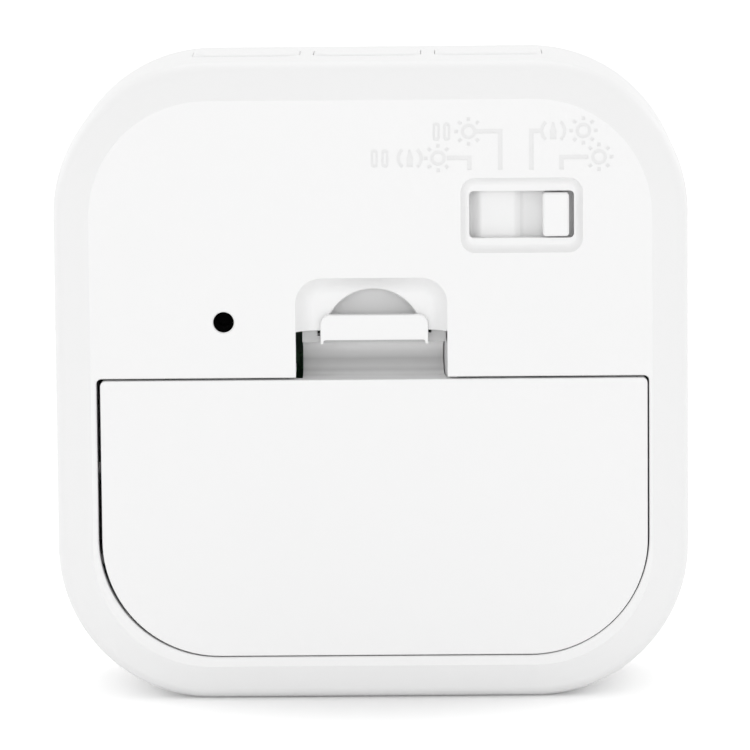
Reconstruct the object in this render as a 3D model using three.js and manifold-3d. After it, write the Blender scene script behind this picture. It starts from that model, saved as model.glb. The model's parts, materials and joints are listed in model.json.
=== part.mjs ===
// Digital kitchen timer: a rounded square case that stands on its edge, with the display in front, three
// buttons on top, and the battery door, a slide switch and the sound hole on its back.
// Millimetres, +Z up. The display faces -Y, the back faces +Y, and the timer stands on z = 0.
import * as THREE from "three";
import { mergeVertices } from "three/addons/utils/BufferGeometryUtils.js";
import Module from "manifold-3d";

const wasm = await Module();
wasm.setup();

// Case
const CASE_WIDTH = 70;
const CASE_HEIGHT = 71;
const CASE_DEPTH = 28;
const CORNER_RADIUS = 17;
const SIDE_WALL = 1.8;
const BACK_WALL = 2;
const FRONT_WALL = 2.4;
const BEZEL_DEPTH = 5; // how far the front frame reaches back from the front face
const BACK_BEVEL_RUN = 2.7; // flat bevel around the back face, measured along the face
const BACK_BEVEL_DEPTH = 1.5; // the same bevel, measured along the side wall
const BACK_EDGE_RADIUS = 2.7; // round between that bevel and the side wall
const FRONT_EDGE_RADIUS = 3;
const LIP_HEIGHT = 1.4; // tongue of the front frame inside the rear shell
const LIP_WALL = 0.9;

// Clearances
const SEAT = 0.2; // between pieces that are fixed to each other
const SLIDE = 0.3; // around pieces that move

// Battery door
const DOOR_SIDE_MARGIN = 0.6; // from the door's opening to the bevel at its sides
const DOOR_FOOT_MARGIN = 1.05; // the same at its lower edge
const DOOR_HEIGHT = 31.2;
const DOOR_THICKNESS = 1.6;
const DOOR_TOP_RADIUS = 0.6;
const DOOR_TOP_GAP = 0.25;
const DOOR_FOOT_GAP = 0.2;
const DOOR_SHIFT = -0.12; // the door sits a little to one side in its opening
const DOOR_OPEN_ANGLE = THREE.MathUtils.degToRad(45);
const LEDGE_THICKNESS = 1.5; // seat of the door around the battery tray
const LEDGE_OVERLAP = 1.2; // how far that seat runs under the back wall
const FOOT_X = 13; // hinge feet on the door's lower edge
const FOOT_WIDTH = 8;
const FOOT_THICKNESS = 1.1;
const FOOT_REACH = 1.5;
const FOOT_RISE = 1.2;

// Spring latch on the door's top edge, and the finger scoop above it
const LATCH_WIDTH = 15.7;
const LATCH_GAP = 0.4;
const LATCH_REACH = 5.05; // from the top of the door's opening to the lip of the scoop
const LATCH_WALL = 0.9;
const LATCH_DEPTH = 7;
const LATCH_LIP_GAP = 0.5; // from the latch's outer leg to the lip
const EAR_REACH = 0.2; // how far the ears stand out from the outer leg
const EAR_THICKNESS = 0.8;
const TAB_WIDTH = 11.7;
const TAB_REACH = 2.55; // from the outer leg to the tip of the tab
const TAB_THICKNESS = 1;
const TAB_CORNER = 0.8;
const TAB_SINK = 0.2; // below the back face
const SCOOP_HEIGHT = 6.5;
const SCOOP_CORNER = 2.9;
const SCOOP_DEPTH = 1.5;
const SCOOP_SLOPE = 2.4; // width of the soft wall around the scoop's floor
const SCOOP_SKIN = 1.5;
const POCKET_RADIUS = 5.3; // half-moon finger pocket behind the tab
const POCKET_DROP = 0.5; // its centre lies this far below the lip
const POCKET_DEPTH = 3.6;

// Battery tray and cells
const CELL_DIAMETER = 10.5;
const CELL_LENGTH = 44.5;
const CELL_NUB_RADIUS = 1.9;
const CELL_NUB = 0.8;
const CELL_EDGE = 0.4;
const CELL_GAP = 0.6; // between the two cells
const CELL_CLEARANCE = 0.3; // above, below and in front of them
const CELL_DOOR_GAP = 0.5;
const TRAY_RIM = 4.4; // from the lower edge of the door's opening to the tray
const TRAY_WALL = 1;
const TRAY_FLOOR = 1.2;
const DIVIDER_WIDTH = 1.2;
const DIVIDER_HEIGHT = 1.8;
const CONTACT_THICKNESS = 0.4;
const CONTACT_SIZE = 8.4;
const TAIL_WIDTH = 2.4;
const TAIL_REACH = 1.5; // solder tail in front of the tray's floor
const SPRING_LENGTH = 5;
const SPRING_WIRE = 0.6;
const SPRING_TURNS = 3.5;
const SPRING_BASE_RADIUS = 3.4;
const SPRING_TIP_RADIUS = 1.9;

// Case screws, down towers under the door
const SCREW_SIDE_INSET = 3.8; // from the side of the door's opening
const SCREW_TOP_INSET = 2.2; // from its top
const SCREW_RADIUS = 1;
const SCREW_HEAD_RADIUS = 1.8;
const SCREW_HEAD = 1.2;
const SCREW_HEAD_ROUND = 0.5;
const SCREW_SLOT = 0.5;
const SCREW_SLOT_DEPTH = 0.6;
const SCREW_LENGTH = 7;
const TOWER_WALL = 0.8;
const TOWER_FOOT = 1.5; // thickness of the seat under the screw head
const TOWER_DEPTH = 18.2; // from the back face to the end of the tower
const BOSS_RADIUS = 2.3;
const PILOT_RADIUS = 1.2;

// Display in the front frame
const WINDOW_WIDTH = 40;
const WINDOW_HEIGHT = 23;
const WINDOW_RADIUS = 2;
const DISPLAY_TOP_INSET = 31; // from the top of the case to the middle of the window
const LENS_RIM = 2.2; // how far the lens seats around the window
const LENS_THICKNESS = 1.2;
const LCD_MARGIN = 1.6; // how far the glass runs past the window
const LCD_LEDGE = 3; // contact ledge along its lower edge
const GLASS_THICKNESS = 1.1;
const BACKLIGHT_THICKNESS = 2;
const FRAME_WALL = 1; // moulded frame around the glass
const FRAME_HEIGHT = 2;
const ZEBRA_THICKNESS = 1.8;
const LED_WIDTH = 1.2;
const LED_HEIGHT = 3;

// Main board
const BOARD_THICKNESS = 1.2;
const BOARD_BOTTOM = 9;
const BOARD_TOP_INSET = 9; // from the top of the case
const BOARD_CORNER = 1.5;
const BOARD_SIDE_GAP = 0.4; // to the case bosses
const BOARD_SCREW_INSET = 3.4;
const BOARD_SCREW_GAP = 0.4; // from the upper screws to the switches on the board's edge
const BOARD_SCREW_LENGTH = 5;
const BOARD_BOSS_RADIUS = 2;
const CHIP_RADIUS = 4.5;
const CHIP_RISE = 1.5;
const CHIP_X = -8;
const CHIP_Z = 20;
const CRYSTAL_RADIUS = 1;
const CRYSTAL_LENGTH = 6;
const CRYSTAL_X = 6;
const CRYSTAL_Z = 15;

// Buttons and the switches under them
const BUTTON_WIDTH = 11.4;
const BUTTON_GAP = 2.1;
const BUTTON_DEPTH = 9;
const BUTTON_RADIUS = 2;
const BUTTON_RISE = 0.25; // above the case
const BUTTON_CROWN = 0.5; // width of the soft edge around its top
const BUTTON_BACK_OFFSET = 2.9; // the cap's centre lies this far behind the switch's plunger
const BUTTON_TRAVEL = 0.5;
const FLANGE_THICKNESS = 1.2;
const FLANGE_REACH = 0.7;
const FLANGE_END_INSET = 1;
const STEM_RADIUS = 1.4;
const TACT_WIDTH = 6.2;
const TACT_DEPTH = 4;
const TACT_HEIGHT = 3.6;
const PLUNGER_RADIUS = 1.1;
const PLUNGER_RISE = 1.3;
const PLUNGER_ROOT = 1;

// Slide switch in the back
const SWITCH_SIDE_INSET = 18.45; // from the side of the case to the middle of the window
const SWITCH_TOP_INSET = 16.65; // from the top of the case
const SWITCH_PITCH = 2.5;
const SWITCH_STEPS = 3;
const KNOB_WIDTH = 2.9;
const KNOB_HEIGHT = 4.8;
const KNOB_SINK = 0.3; // below the back face
const KNOB_END_GAP = 0.47;
const KNOB_SIDE_GAP = 0.25;
const SWITCH_RIM = 0.8; // width of the soft wall around the window
const SWITCH_LEDGE = 0.35; // flat strip between that wall and the window
const SWITCH_RIM_DEPTH = 0.7;
const SWITCH_RIM_RADIUS = 1.6;
const SWITCH_WINDOW_RADIUS = 0.5;
const COVER_THICKNESS = 1;
const COVER_LAP = 0.6; // how far the slider's cover runs past the window
const RAIL_WALL = 1;
const RAIL_HEIGHT = 1.6;
const SOCKET_HEIGHT = 1.6;
const SOCKET_WALL = 0.8;
const ACTUATOR_SIZE = 2;
const ACTUATOR_ROOT = 1;
const SWITCH_BODY_MARGIN = 2;
const SWITCH_BODY_HEIGHT = 6;
const SWITCH_BODY_DEPTH = 3.6;
const SWITCH_BOARD_THICKNESS = 1.2;
const SWITCH_BOARD_WIDTH = 20.8;
const SWITCH_BOARD_HEIGHT = 14.2;
const POST_INSET = 1.7; // from the edges of the switch's board to the posts that carry it
const POST_RADIUS = 1.7;

// Sounder
const SOUND_HOLE_X = 16.2;
const SOUND_HOLE_RISE = 6.5; // above the door's opening
const SOUND_HOLE_RADIUS = 1.08;
const BUZZER_RADIUS = 4.8;
const BUZZER_HEIGHT = 5.2;
const BUZZER_PORT_RADIUS = 1;
const BUZZER_RING_WALL = 1;
const BUZZER_RING_HEIGHT = 4;

// Vibration motor
const MOTOR_X = 16;
const MOTOR_RADIUS = 3;
const MOTOR_LENGTH = 11;
const MOTOR_SHAFT_RADIUS = 0.5;
const BOOT_WALL = 0.8;
const BOOT_LENGTH = 7;
const WEIGHT_RADIUS = 2.7;
const WEIGHT_LENGTH = 3.5;
const WEIGHT_GAP = 0.5;
const CRADLE_RIB = 1.4;
const CRADLE_BASE = 1;

// Leads
const LEAD_RADIUS = 0.6;
const LEAD_RUN = 4.8; // from a contact's tail to where its lead meets the board
const RIBBON_WIDTH = 6;
const RIBBON_THICKNESS = 0.9;

// Facets
const CORNER_STEPS = 8; // facets of a large corner
const SMALL_CORNER_STEPS = 4; // facets of a small one
const EDGE_STEPS = 4;
const SOFT_STEPS = 5;
const SOFT_CORNER_SHARE = 1 / 3; // least corner of a soft hollow's floor, as a share of its rim's corner
const ROUND_SIDES = 24;
const SMALL_SIDES = 12;
const SPRING_STEPS = 8; // along one turn
const SPRING_SIDES = 5;
const LEAD_STEPS = 10;
const LEAD_SIDES = 8;
const MERGE_DISTANCE = 1e-4;
const PAST = 1; // how far a cutting shape runs past the face that it cuts

// Places that follow from the sizes
const backFace = CASE_DEPTH / 2;
const frontFace = -CASE_DEPTH / 2;
const splitPlane = frontFace + BEZEL_DEPTH;
const backInside = backFace - BACK_WALL;
const bevelAngle = Math.atan2(BACK_BEVEL_DEPTH, BACK_BEVEL_RUN);
const edgeRun = BACK_EDGE_RADIUS * (1 - Math.sin(bevelAngle));
const edgeDepth = BACK_EDGE_RADIUS * Math.cos(bevelAngle);
const flatInset = edgeRun + BACK_BEVEL_RUN;

const openingHalf = CASE_WIDTH / 2 - flatInset - DOOR_SIDE_MARGIN;
const openingBottom = flatInset + DOOR_FOOT_MARGIN;
const openingTop = openingBottom + DOOR_HEIGHT;
const openingFootRadius = CORNER_RADIUS - flatInset - DOOR_SIDE_MARGIN;
const doorBottom = openingBottom + DOOR_FOOT_GAP;
const doorTop = openingTop - DOOR_TOP_GAP;
const doorInside = backFace - DOOR_THICKNESS;
const ledgeFace = doorInside - SEAT;
const footBack = backInside - SLIDE;
const footFront = footBack - FOOT_THICKNESS;

const lipHeight = openingTop + LATCH_REACH;
const latchCutHalf = LATCH_WIDTH / 2 + LATCH_GAP;
const outerLegTop = lipHeight - LATCH_LIP_GAP;
const outerLegBottom = outerLegTop - LATCH_WALL;
const bendMiddle = (doorTop + outerLegBottom) / 2;
const bendRadius = (outerLegBottom - doorTop) / 2;
const bendDepth = backFace - LATCH_DEPTH + LATCH_WALL + bendRadius;
const earBack = backInside - SEAT;
const scoopTop = lipHeight + SCOOP_HEIGHT;
const scoopFloor = backFace - SCOOP_DEPTH;

const trayHalf = (CELL_LENGTH + SPRING_LENGTH + 2 * CONTACT_THICKNESS + 5 * SEAT) / 2;
const trayBottom = openingBottom + TRAY_RIM;
const trayTop = trayBottom + 2 * CELL_DIAMETER + CELL_GAP + 2 * CELL_CLEARANCE;
const trayMiddle = (trayBottom + trayTop) / 2;
const cellBack = doorInside - CELL_DOOR_GAP;
const cellDepth = cellBack - CELL_DIAMETER / 2;
const trayFloor = cellBack - CELL_DIAMETER - CELL_CLEARANCE;
const trayFront = trayFloor - TRAY_FLOOR;
const cellOffset = (CELL_DIAMETER + CELL_GAP) / 2;
const plateX = trayHalf - SEAT - CONTACT_THICKNESS / 2;
const springX = trayHalf - SEAT - CONTACT_THICKNESS - SEAT;
const cellShift = (SPRING_LENGTH + SEAT) / 2;

const screwX = openingHalf - SCREW_SIDE_INSET;
const screwZ = openingTop - SCREW_TOP_INSET;
const towerBore = SCREW_HEAD_RADIUS + SLIDE;
const towerEnd = backFace - TOWER_DEPTH;
const screwSeat = towerEnd + TOWER_FOOT;
const bossEnd = towerEnd - SEAT;

const frontInside = frontFace + FRONT_WALL;
const displayZ = CASE_HEIGHT - DISPLAY_TOP_INSET;
const lcdHalf = WINDOW_WIDTH / 2 + LCD_MARGIN;
const lcdTop = displayZ + WINDOW_HEIGHT / 2 + LCD_MARGIN;
const lcdBottom = displayZ - WINDOW_HEIGHT / 2 - LCD_MARGIN - LCD_LEDGE;
const lcdFront = frontInside + SEAT;
const lcdMiddle = lcdFront + GLASS_THICKNESS;
const lcdBack = lcdMiddle + GLASS_THICKNESS;
const backlightFront = lcdBack + SEAT;
const backlightBack = backlightFront + BACKLIGHT_THICKNESS;
const boardFront = backlightBack + SEAT;
const boardBack = boardFront + BOARD_THICKNESS;
const boardHalf = screwX - BOSS_RADIUS - BOARD_SIDE_GAP;
const boardTop = CASE_HEIGHT - BOARD_TOP_INSET;

const tactY = boardBack + SEAT + TACT_DEPTH / 2;
const buttonY = tactY + BUTTON_BACK_OFFSET;
const buttonPitch = BUTTON_WIDTH + BUTTON_GAP;
const buttonNames = ["left", "middle", "right"];
const buttonPlaces = [-buttonPitch, 0, buttonPitch];

const switchX = -CASE_WIDTH / 2 + SWITCH_SIDE_INSET;
const switchZ = CASE_HEIGHT - SWITCH_TOP_INSET;
const switchTravel = SWITCH_PITCH * SWITCH_STEPS;
const windowHalf = (KNOB_WIDTH + switchTravel) / 2 + KNOB_END_GAP;
const windowRise = KNOB_HEIGHT / 2 + KNOB_SIDE_GAP;
const knobX = switchX - switchTravel / 2;
const coverBack = backInside - SLIDE;
const coverFront = coverBack - COVER_THICKNESS;
const socketFront = coverFront - SOCKET_HEIGHT;
const switchBodyBack = socketFront - SLIDE;
const switchBodyFront = switchBodyBack - SWITCH_BODY_DEPTH;
const switchBoardBack = switchBodyFront - SEAT;
const switchBoardFront = switchBoardBack - SWITCH_BOARD_THICKNESS;
const switchBodyHalf = switchTravel / 2 + ACTUATOR_SIZE / 2 + SWITCH_BODY_MARGIN;
const postReach = SWITCH_BOARD_WIDTH / 2 - POST_INSET;
const postRise = SWITCH_BOARD_HEIGHT / 2 - POST_INSET;
const postPlaces = [
  [switchX - postReach, switchZ + postRise],
  [switchX + postReach, switchZ - postRise],
];

const soundHoleZ = openingTop + SOUND_HOLE_RISE;
const buzzerBack = backInside - SEAT;
const bootRadius = MOTOR_RADIUS + SEAT + BOOT_WALL;
const motorY = backInside - CRADLE_BASE - SEAT - bootRadius;
const motorZ = (soundHoleZ + BUZZER_RADIUS + CASE_HEIGHT - SIDE_WALL) / 2;

// Colours and surfaces
const FINISHES = {
  white: { color: 0xf1f1ef, roughness: 0.42, metalness: 0 },
  clear: { color: 0xdfe6e4, roughness: 0.08, metalness: 0, transparent: true, opacity: 0.35 },
  glass: { color: 0xa9b3a4, roughness: 0.15, metalness: 0 },
  diffuser: { color: 0xf6f6f2, roughness: 0.55, metalness: 0 },
  board: { color: 0x2c6b3f, roughness: 0.5, metalness: 0 },
  black: { color: 0x1b1b1c, roughness: 0.5, metalness: 0 },
  rubber: { color: 0x2a2a2b, roughness: 0.9, metalness: 0 },
  steel: { color: 0xc4c6c8, roughness: 0.3, metalness: 1 },
  sleeve: { color: 0x4b5258, roughness: 0.35, metalness: 0.2 },
  red: { color: 0xb3221f, roughness: 0.5, metalness: 0 },
  grey: { color: 0x8d9094, roughness: 0.6, metalness: 0 },
};

// A closed geometry as a solid that can be joined and cut
function toSolid(geometry) {
  geometry.deleteAttribute("normal");
  geometry.deleteAttribute("uv");
  const merged = mergeVertices(geometry, MERGE_DISTANCE);
  const vertProperties = new Float32Array(merged.attributes.position.array);
  const triVerts = new Uint32Array(merged.index.array);
  return new wasm.Manifold(new wasm.Mesh({ numProp: 3, vertProperties, triVerts }));
}

function toGeometry(solid) {
  const mesh = solid.getMesh();
  const geometry = new THREE.BufferGeometry();
  geometry.setAttribute("position", new THREE.BufferAttribute(mesh.vertProperties, 3));
  geometry.setIndex(new THREE.BufferAttribute(mesh.triVerts, 1));
  geometry.computeVertexNormals();
  return geometry;
}

function piece(name, solid, finish, parent) {
  const mesh = new THREE.Mesh(toGeometry(solid), new THREE.MeshStandardMaterial(FINISHES[finish]));
  mesh.name = name;
  parent.add(mesh);
  return mesh;
}

function block(low, high) {
  const size = low.map((value, axis) => high[axis] - value);
  const middle = low.map((value, axis) => (high[axis] + value) / 2);
  return toSolid(new THREE.BoxGeometry(...size).translate(...middle));
}

// Round bar along Y between two depths
function drum(radius, front, back, x = 0, z = 0, sides = ROUND_SIDES) {
  const bar = new THREE.CylinderGeometry(radius, radius, back - front, sides);
  return toSolid(bar.translate(x, (front + back) / 2, z));
}

// Round bar along X
function barX(radius, left, right, y = 0, z = 0, sides = ROUND_SIDES) {
  const bar = new THREE.CylinderGeometry(radius, radius, right - left, sides).rotateZ(Math.PI / 2);
  return toSolid(bar.translate((left + right) / 2, y, z));
}

// Round bar along Z
function barZ(radius, bottom, top, x = 0, y = 0, sides = SMALL_SIDES) {
  const bar = new THREE.CylinderGeometry(radius, radius, top - bottom, sides).rotateX(Math.PI / 2);
  return toSolid(bar.translate(x, y, (bottom + top) / 2));
}

// Body of revolution about Y from a half profile (radius, y) that starts and ends on the axis
function lathe(profile, sides = ROUND_SIDES) {
  return toSolid(new THREE.LatheGeometry(profile.map((point) => new THREE.Vector2(...point)), sides));
}

// Rounded rectangle between its sides, with one radius at its lower corners and one at its upper corners
function roundedShape(left, right, bottom, top, lowRadius, highRadius = lowRadius) {
  const shape = new THREE.Shape();
  shape.moveTo(left + lowRadius, bottom);
  shape.lineTo(right - lowRadius, bottom);
  shape.absarc(right - lowRadius, bottom + lowRadius, lowRadius, -Math.PI / 2, 0);
  shape.lineTo(right, top - highRadius);
  shape.absarc(right - highRadius, top - highRadius, highRadius, 0, Math.PI / 2);
  shape.lineTo(left + highRadius, top);
  shape.absarc(left + highRadius, top - highRadius, highRadius, Math.PI / 2, Math.PI);
  shape.lineTo(left, bottom + lowRadius);
  shape.absarc(left + lowRadius, bottom + lowRadius, lowRadius, Math.PI, 1.5 * Math.PI);
  return shape;
}

// Straight run of a shape; an arc in a shape gets two facets for each of its segments
function extrude(shape, depth, steps) {
  return new THREE.ExtrudeGeometry(shape, { depth, bevelEnabled: false, curveSegments: steps / 2 });
}

// A shape in the plane of the back face (x, z), run from one depth to another
function prismY(shape, front, back, steps = SMALL_CORNER_STEPS) {
  return toSolid(extrude(shape, back - front, steps).rotateX(Math.PI / 2).translate(0, back, 0));
}

// A side profile (y, z), run across the case
function prismX(shape, left, right) {
  const run = extrude(shape, right - left, CORNER_STEPS);
  return toSolid(run.rotateY(Math.PI / 2).rotateX(Math.PI / 2).translate(left, 0, 0));
}

// Points of a rounded rectangle, anticlockwise
function roundedRing(left, right, bottom, top, radius, steps) {
  const corners = [
    [right - radius, bottom + radius],
    [right - radius, top - radius],
    [left + radius, top - radius],
    [left + radius, bottom + radius],
  ];
  const ring = [];
  corners.forEach(([x, z], quarter) => {
    for (let step = 0; step <= steps; step += 1) {
      const angle = (quarter - 1 + step / steps) * (Math.PI / 2);
      ring.push([x + radius * Math.cos(angle), z + radius * Math.sin(angle)]);
    }
  });
  return ring;
}

function standing(ring, y) {
  return ring.map(([x, z]) => [x, y, z]);
}

function lying(ring, z) {
  return ring.map(([x, y]) => [x, y, z]);
}

// Closed skin through rings of points: standing rings from front to back, or lying rings from top to bottom
function loft(rings) {
  const count = rings[0].length;
  const triangles = [];
  for (let step = 1; step < count - 1; step += 1) {
    triangles.push(0, step, step + 1);
    const last = (rings.length - 1) * count;
    triangles.push(last, last + step + 1, last + step);
  }
  for (let level = 0; level < rings.length - 1; level += 1) {
    for (let step = 0; step < count; step += 1) {
      const near = level * count + step;
      const next = level * count + ((step + 1) % count);
      triangles.push(near, next + count, next, near, near + count, next + count);
    }
  }
  const geometry = new THREE.BufferGeometry();
  geometry.setAttribute("position", new THREE.Float32BufferAttribute(rings.flat(2), 3));
  geometry.setIndex(triangles);
  return toSolid(geometry);
}

// Ring of the case, drawn in from its outline by one amount all round
function caseRing(y, inset) {
  const half = CASE_WIDTH / 2 - inset;
  const ring = roundedRing(-half, half, inset, CASE_HEIGHT - inset, CORNER_RADIUS - inset, CORNER_STEPS);
  return standing(ring, y);
}

// Hollow with a soft S-shaped wall: wide at the back face and drawn in by its slope at its floor
function softHollow(left, right, bottom, top, radius, slope, depth) {
  const ring = (inset) => {
    const corner = Math.max(radius - inset, radius * SOFT_CORNER_SHARE);
    return roundedRing(left + inset, right - inset, bottom + inset, top - inset, corner, SMALL_CORNER_STEPS);
  };
  const rings = [];
  for (let step = SOFT_STEPS; step >= 0; step -= 1) {
    const share = step / SOFT_STEPS;
    rings.push(standing(ring(slope * share), backFace - depth * share * share * (3 - 2 * share)));
  }
  rings.push(standing(ring(0), backFace + PAST));
  return loft(rings);
}

function roundSection(radius, sides) {
  const corners = [];
  for (let side = 0; side < sides; side += 1) {
    const angle = (side / sides) * 2 * Math.PI;
    corners.push(new THREE.Vector2(radius * Math.cos(angle), radius * Math.sin(angle)));
  }
  return new THREE.Shape(corners);
}

// Tube along a smooth curve through the given points
function tube(points, section, steps) {
  const curve = new THREE.CatmullRomCurve3(points.map((point) => new THREE.Vector3(...point)));
  return toSolid(new THREE.ExtrudeGeometry(section, { steps, extrudePath: curve, bevelEnabled: false }));
}

// Screw along Y with its head at the back; the seat of the head is at y = 0
function screw(length) {
  const top = SCREW_HEAD + SEAT;
  const shank = drum(SCREW_RADIUS, -length, top / 2, 0, 0, SMALL_SIDES);
  const head = lathe([
    [0, SEAT],
    [SCREW_HEAD_RADIUS, SEAT],
    [SCREW_HEAD_RADIUS, top - SCREW_HEAD_ROUND],
    [SCREW_HEAD_RADIUS - SCREW_HEAD_ROUND, top],
    [0, top],
  ], SMALL_SIDES);
  const slotHalf = SCREW_SLOT / 2;
  const floor = top - SCREW_SLOT_DEPTH;
  const slotAcross = block([-SCREW_RADIUS, floor, -slotHalf], [SCREW_RADIUS, top + PAST, slotHalf]);
  const slotUp = block([-slotHalf, floor, -SCREW_RADIUS], [slotHalf, top + PAST, SCREW_RADIUS]);
  return shank.add(head).subtract(slotAcross).subtract(slotUp);
}

// Opening for the battery door, through the back wall down to the door's seat
function doorOpening() {
  const shape = roundedShape(
    -openingHalf, openingHalf, openingBottom, openingTop, openingFootRadius, DOOR_TOP_RADIUS,
  );
  return prismY(shape, ledgeFace, backFace + PAST, CORNER_STEPS);
}

// Seat of the door with the tray for the two cells
function batteryTray() {
  const seat = prismY(
    roundedShape(
      -openingHalf - LEDGE_OVERLAP, openingHalf + LEDGE_OVERLAP,
      openingBottom - LEDGE_OVERLAP, openingTop + LEDGE_OVERLAP,
      openingFootRadius + LEDGE_OVERLAP, DOOR_TOP_RADIUS + LEDGE_OVERLAP,
    ),
    ledgeFace - LEDGE_THICKNESS, backInside + BACK_WALL / 2, CORNER_STEPS,
  );
  const walls = block(
    [-trayHalf - TRAY_WALL, trayFront, trayBottom - TRAY_WALL],
    [trayHalf + TRAY_WALL, ledgeFace, trayTop + TRAY_WALL],
  );
  return seat.add(walls);
}

function trayHollow() {
  const hollow = block([-trayHalf, trayFloor, trayBottom], [trayHalf, backFace + PAST, trayTop]);
  const divider = block(
    [-trayHalf - PAST, trayFloor - PAST, trayMiddle - DIVIDER_WIDTH / 2],
    [trayHalf + PAST, trayFloor + DIVIDER_HEIGHT, trayMiddle + DIVIDER_WIDTH / 2],
  );
  const endRoom = trayHalf - SPRING_LENGTH;
  const plain = block(
    [-endRoom, trayFloor - PAST, trayBottom],
    [endRoom, backFace, trayTop],
  );
  return hollow.subtract(divider.intersect(plain));
}

// Slots in the tray's floor for the solder tails of the two end contacts
function tailSlots() {
  const slot = (z) => block(
    [trayHalf - SEAT - CONTACT_THICKNESS - SLIDE, trayFront - PAST, z - TAIL_WIDTH / 2 - SLIDE],
    [trayHalf, trayFloor + PAST, z + TAIL_WIDTH / 2 + SLIDE],
  );
  return slot(trayMiddle + cellOffset).add(slot(trayMiddle - cellOffset));
}

// Pockets under the back wall in which the door's hinge feet turn
function footPockets() {
  const reach = backFace - footFront;
  const sweep = reach * Math.sin(DOOR_OPEN_ANGLE) + FOOT_RISE * Math.cos(DOOR_OPEN_ANGLE);
  const deepest = backFace - Math.hypot(reach, FOOT_REACH + DOOR_FOOT_GAP) - SLIDE;
  const top = doorBottom + sweep + SLIDE;
  const pocket = (x) => block(
    [x - FOOT_WIDTH / 2 - SLIDE, deepest, openingBottom - FOOT_REACH - SLIDE],
    [x + FOOT_WIDTH / 2 + SLIDE, backInside, top],
  ).add(block(
    [x - FOOT_WIDTH / 2 - SLIDE, deepest, openingBottom],
    [x + FOOT_WIDTH / 2 + SLIDE, backInside + PAST, top],
  ));
  return pocket(-FOOT_X + DOOR_SHIFT).add(pocket(FOOT_X + DOOR_SHIFT));
}

// Material behind the finger scoop: its floor, and the cup of the half-moon pocket
function scoopBack() {
  const floor = block(
    [-latchCutHalf - SCOOP_SKIN, scoopFloor - SCOOP_SKIN, lipHeight],
    [latchCutHalf + SCOOP_SKIN, backInside + BACK_WALL / 2, scoopTop + SCOOP_SKIN],
  );
  const cupFront = backFace - POCKET_DEPTH - SCOOP_SKIN;
  const cup = drum(POCKET_RADIUS + SCOOP_SKIN, cupFront, backInside, 0, lipHeight - POCKET_DROP);
  const above = block(
    [-CASE_WIDTH, frontFace, lipHeight],
    [CASE_WIDTH, backFace, scoopTop + SCOOP_SKIN],
  );
  return floor.add(cup.intersect(above));
}

// Cut-out that the latch works in, the soft scoop above it and the half-moon pocket
function latchOpenings() {
  const below = doorTop - LATCH_WALL - SLIDE;
  const cutOut = block(
    [-latchCutHalf, backFace - LATCH_DEPTH - PAST, below],
    [latchCutHalf, backFace + PAST, lipHeight],
  );
  const scoop = softHollow(
    -latchCutHalf, latchCutHalf, lipHeight - SCOOP_SLOPE - SCOOP_CORNER, scoopTop,
    SCOOP_CORNER, SCOOP_SLOPE, SCOOP_DEPTH,
  );
  const pocketZ = lipHeight - POCKET_DROP;
  const pocket = drum(POCKET_RADIUS, backFace - POCKET_DEPTH, backFace, 0, pocketZ, 2 * ROUND_SIDES);
  return cutOut.add(scoop).add(pocket);
}

// Towers for the case screws, and their bores
function screwTowers() {
  const tower = (x) => drum(towerBore + TOWER_WALL, towerEnd, ledgeFace, x, screwZ);
  return tower(-screwX).add(tower(screwX));
}

function screwBores() {
  const bore = (x) => drum(towerBore, screwSeat, backFace, x, screwZ)
    .add(drum(PILOT_RADIUS, towerEnd - PAST, screwSeat + PAST, x, screwZ, SMALL_SIDES));
  return bore(-screwX).add(bore(screwX));
}

// Window of the slide switch in its softly sunken frame
function switchWindow() {
  const rimHalf = windowHalf + SWITCH_LEDGE + SWITCH_RIM;
  const rimRise = windowRise + SWITCH_LEDGE + SWITCH_RIM;
  const frame = softHollow(
    switchX - rimHalf, switchX + rimHalf, switchZ - rimRise, switchZ + rimRise,
    SWITCH_RIM_RADIUS, SWITCH_RIM, SWITCH_RIM_DEPTH,
  );
  const shape = roundedShape(
    switchX - windowHalf, switchX + windowHalf, switchZ - windowRise, switchZ + windowRise,
    SWITCH_WINDOW_RADIUS,
  );
  return frame.add(prismY(shape, backInside - PAST, backFace));
}

// Posts for the switch's board and rails for its slider, on the inside of the back wall
function switchSupports() {
  const rise = windowRise + COVER_LAP + SLIDE;
  const left = knobX - KNOB_WIDTH / 2 - SLIDE;
  const right = switchX + windowHalf + COVER_LAP + switchTravel;
  const rail = (low) => block(
    [left, backInside - RAIL_HEIGHT, low],
    [right, backInside + BACK_WALL / 2, low + RAIL_WALL],
  );
  let supports = rail(switchZ + rise).add(rail(switchZ - rise - RAIL_WALL));
  for (const [x, z] of postPlaces) {
    const post = drum(POST_RADIUS, switchBoardBack + SEAT, backInside + BACK_WALL / 2, x, z, SMALL_SIDES);
    supports = supports.add(post);
  }
  return supports;
}

function postHoles() {
  const end = switchBoardBack + BOARD_SCREW_LENGTH;
  const hole = ([x, z]) => drum(PILOT_RADIUS, switchBoardBack - PAST, end, x, z, SMALL_SIDES);
  return hole(postPlaces[0]).add(hole(postPlaces[1]));
}

// Ring that holds the sounder, and the cradle of the motor, on the inside of the back wall
function buzzerRing() {
  const inner = BUZZER_RADIUS + SEAT;
  const front = backInside - BUZZER_RING_HEIGHT;
  const ring = drum(inner + BUZZER_RING_WALL, front, backInside + BACK_WALL / 2, SOUND_HOLE_X, soundHoleZ);
  return ring.subtract(drum(inner, front - PAST, backInside, SOUND_HOLE_X, soundHoleZ));
}

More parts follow.
